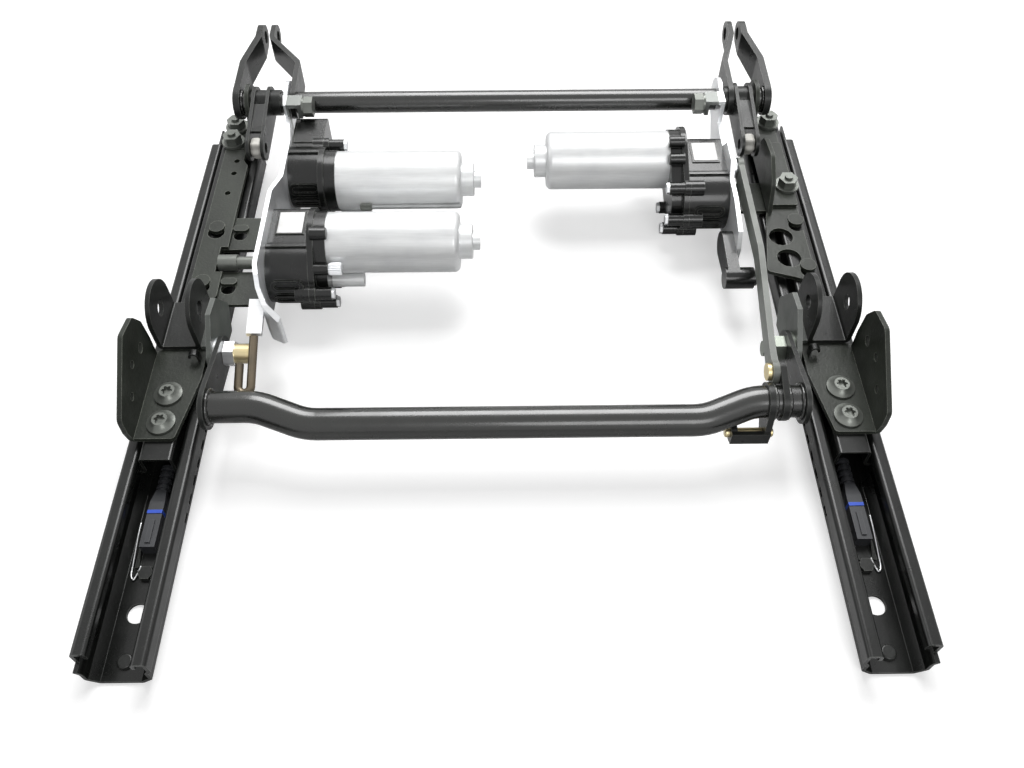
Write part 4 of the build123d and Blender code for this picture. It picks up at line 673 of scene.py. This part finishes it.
# The link bushes: natural plastic bushes between the walls of the two crank channels, at their
# front eyes, each moulded with six low grip lobes.
bush_centre = (123.0, 56.0)
bush_rounding = 0.3
bush_profile = [
    (178.8, 3.0),
    (178.8, 5.6),
    (179.6, 6.4),
    (181.0, 7.0),
    (184.2, 7.0),
    (185.6, 6.4),
    (186.4, 5.6),
    (186.4, 3.0),
]
for name, profile in (("left", flipped(bush_profile)), ("right", bush_profile)):
    bush = turned("link_bush_" + name, bush_centre, profile, lobes=6, lobe_depth=0.09, sides=72)
    soften(bush, bush_rounding)
    finish(bush, glide_look, "rear_lift")

# The weld beads: arc-welded fillets round the tubes where arms, lug and rod plate join them. Each
# bead is a run of overlapping ripples, coated black with the rest.
bead_radius = 1.1
ripple_height = 0.26
front_centre = (-101.0, 41.0)
front_reach = 10.3
front_arm_place = 180.4
lug_place = 164.0
rod_plate_place = 172.4
rear_centre = (169.0, 62.0)
rear_reach = 8.3
rear_arm_place = 198.4


def swept(name, centres, radii, reference, closed=False, sides=10):
    """Carries a circle along a path: each ring is square to the path and has its own radius."""
    centres = np.asarray(centres, dtype=float)
    if closed:
        along = np.roll(centres, -1, axis=0) - np.roll(centres, 1, axis=0)
    else:
        along = np.gradient(centres, axis=0)
    along /= np.linalg.norm(along, axis=1, keepdims=True)
    first = np.cross(along, np.asarray(reference, dtype=float))
    first /= np.linalg.norm(first, axis=1, keepdims=True)
    second = np.cross(along, first)
    turns = np.linspace(0, full_turn, sides, endpoint=False)[None, :, None]
    spokes = np.cos(turns) * first[:, None] + np.sin(turns) * second[:, None]
    points = centres[:, None] + np.asarray(radii)[:, None, None] * spokes
    points = points.reshape(-1, 3) * millimetre
    return mesh_object(name, points, skin_faces(len(centres), sides, closed))


def weld_bead(name, place, centre, radius, body):
    """A closed bead round a tube. Its radius is an even size, plus ripples, which are the absolute
    value of a sine round the tube, plus an unevenness of two slower sines with drawn phases."""
    random = np.random.default_rng(int(place * 10) % 9973 + int(radius))
    steps = 96
    turns = np.linspace(0, full_turn, steps, endpoint=False)
    ripple = np.abs(np.sin(turns * 9 + random.uniform(0, 3))) * ripple_height
    uneven = 0.12 * np.sin(turns * 3 + random.uniform(0, 6))
    uneven = uneven + 0.1 * np.sin(turns * 5 + random.uniform(0, 6))
    reach = radius + 0.15 + 0.2 * uneven
    y, z = centre[0] + reach * np.cos(turns), centre[1] + reach * np.sin(turns)
    centres = np.stack((np.full(steps, place), y, z), axis=-1)
    bead = swept(name, centres, bead_radius + ripple + uneven, (1, 0, 0), closed=True)
    finish(bead, tube_look, body)


for side, word in ((-1, "left"), (1, "right")):
    place = side * front_arm_place
    weld_bead("weld_front_arm_" + word, place, front_centre, front_reach, "front_lift")
    place = side * rear_arm_place
    weld_bead("weld_rear_arm_" + word, place, rear_centre, rear_reach, "rear_lift")
weld_bead("weld_lug", lug_place, front_centre, front_reach, "front_lift")
weld_bead("weld_rod_plate", rod_plate_place, front_centre, front_reach, "front_lift")

# The hooked tabs: narrow tongues lanced from the inner edge of each front bracket and curled
# over, black-coated with the bracket. They hold the wiring. Along the tongue it first stands
# straight up, and then follows a little more than half a turn of a small circle.
tab_steps = 22
tab_foot = (196.2, 34.4)
tab_straight = 5.0
tab_share_straight = 0.35
tab_curl = math.radians(205)
tab_curl_radius = (2.7, 2.6)
tab_ends = (-61.5, -56.5)
tab_thickness = 1.4
tab_rounding = 0.5
tab_way = np.linspace(0, 1, tab_steps)
for side, word in ((-1, "left"), (1, "right")):
    curl = tab_curl * np.clip((tab_way - tab_share_straight) / (1 - tab_share_straight), 0, 1)
    risen = tab_straight * np.clip(tab_way / tab_share_straight, 0, 1)
    across = tab_foot[0] + tab_curl_radius[0] * (1 - np.cos(curl))
    upward = tab_foot[1] + risen + tab_curl_radius[1] * np.sin(curl)
    rows = [np.stack((side * across, np.full(tab_steps, y), upward), axis=-1) for y in tab_ends]
    points = np.concatenate(rows) * millimetre
    index = np.arange(tab_steps)
    beyond = index + tab_steps
    quads = np.stack((index[:-1], index[1:], beyond[1:], beyond[:-1]), axis=-1)
    if side > 0:
        quads = quads[:, ::-1]
    tab = mesh_object("wiring_tab_" + word, points, quads.tolist(), smooth=False)
    wall = tab.modifiers.new("sheet", "SOLIDIFY")
    wall.thickness = tab_thickness * millimetre
    wall.offset = 0
    soften(tab, tab_rounding)
    finish(tab, rail_look, "carriage")

# The plug wires: a bent spring wire beside each wiring plug, bright steel, that runs forward from
# the plug's clip along the rail floor and is hooked round the small bolt.
wire_radius = 0.5


def smooth_path(points, count=60):
    """A smooth line through points: between two points, the cubic with their places and slopes.
    The slope at a point is half the step from the point before it to the one after it, and at an
    end it is the step beside it. The places stop just short of the last point."""
    points = np.asarray(points, dtype=float)
    slopes = np.gradient(points, axis=0)
    place = np.linspace(0, len(points) - 1.000001, count)
    step = place.astype(int)
    t = (place - step)[:, None]
    a, b = points[step], points[step + 1]
    m, n = slopes[step], slopes[step + 1]
    from_start = (2 * t**3 - 3 * t**2 + 1) * a + (t**3 - 2 * t**2 + t) * m
    return from_start + (3 * t**2 - 2 * t**3) * b + (t**3 - t**2) * n


wire_points = np.array(
    [
        (218.6, -163.0, 9.6),
        (218.9, -170.0, 8.6),
        (219.4, -178.0, 6.2),
        (219.9, -187.0, 3.6),
        (219.6, -194.0, 2.9),
        (217.6, -196.6, 3.1),
        (216.0, -193.0, 3.4),
        (214.6, -188.6, 4.4),
    ]
)
for side, word in ((-1, "left"), (1, "right")):
    line = smooth_path(wire_points * np.array((side, 1, 1)))
    wire = swept("plug_wire_" + word, line, np.full(len(line), wire_radius), (0, 0, 1))
    finish(wire, zinc_look, "floor_rails")
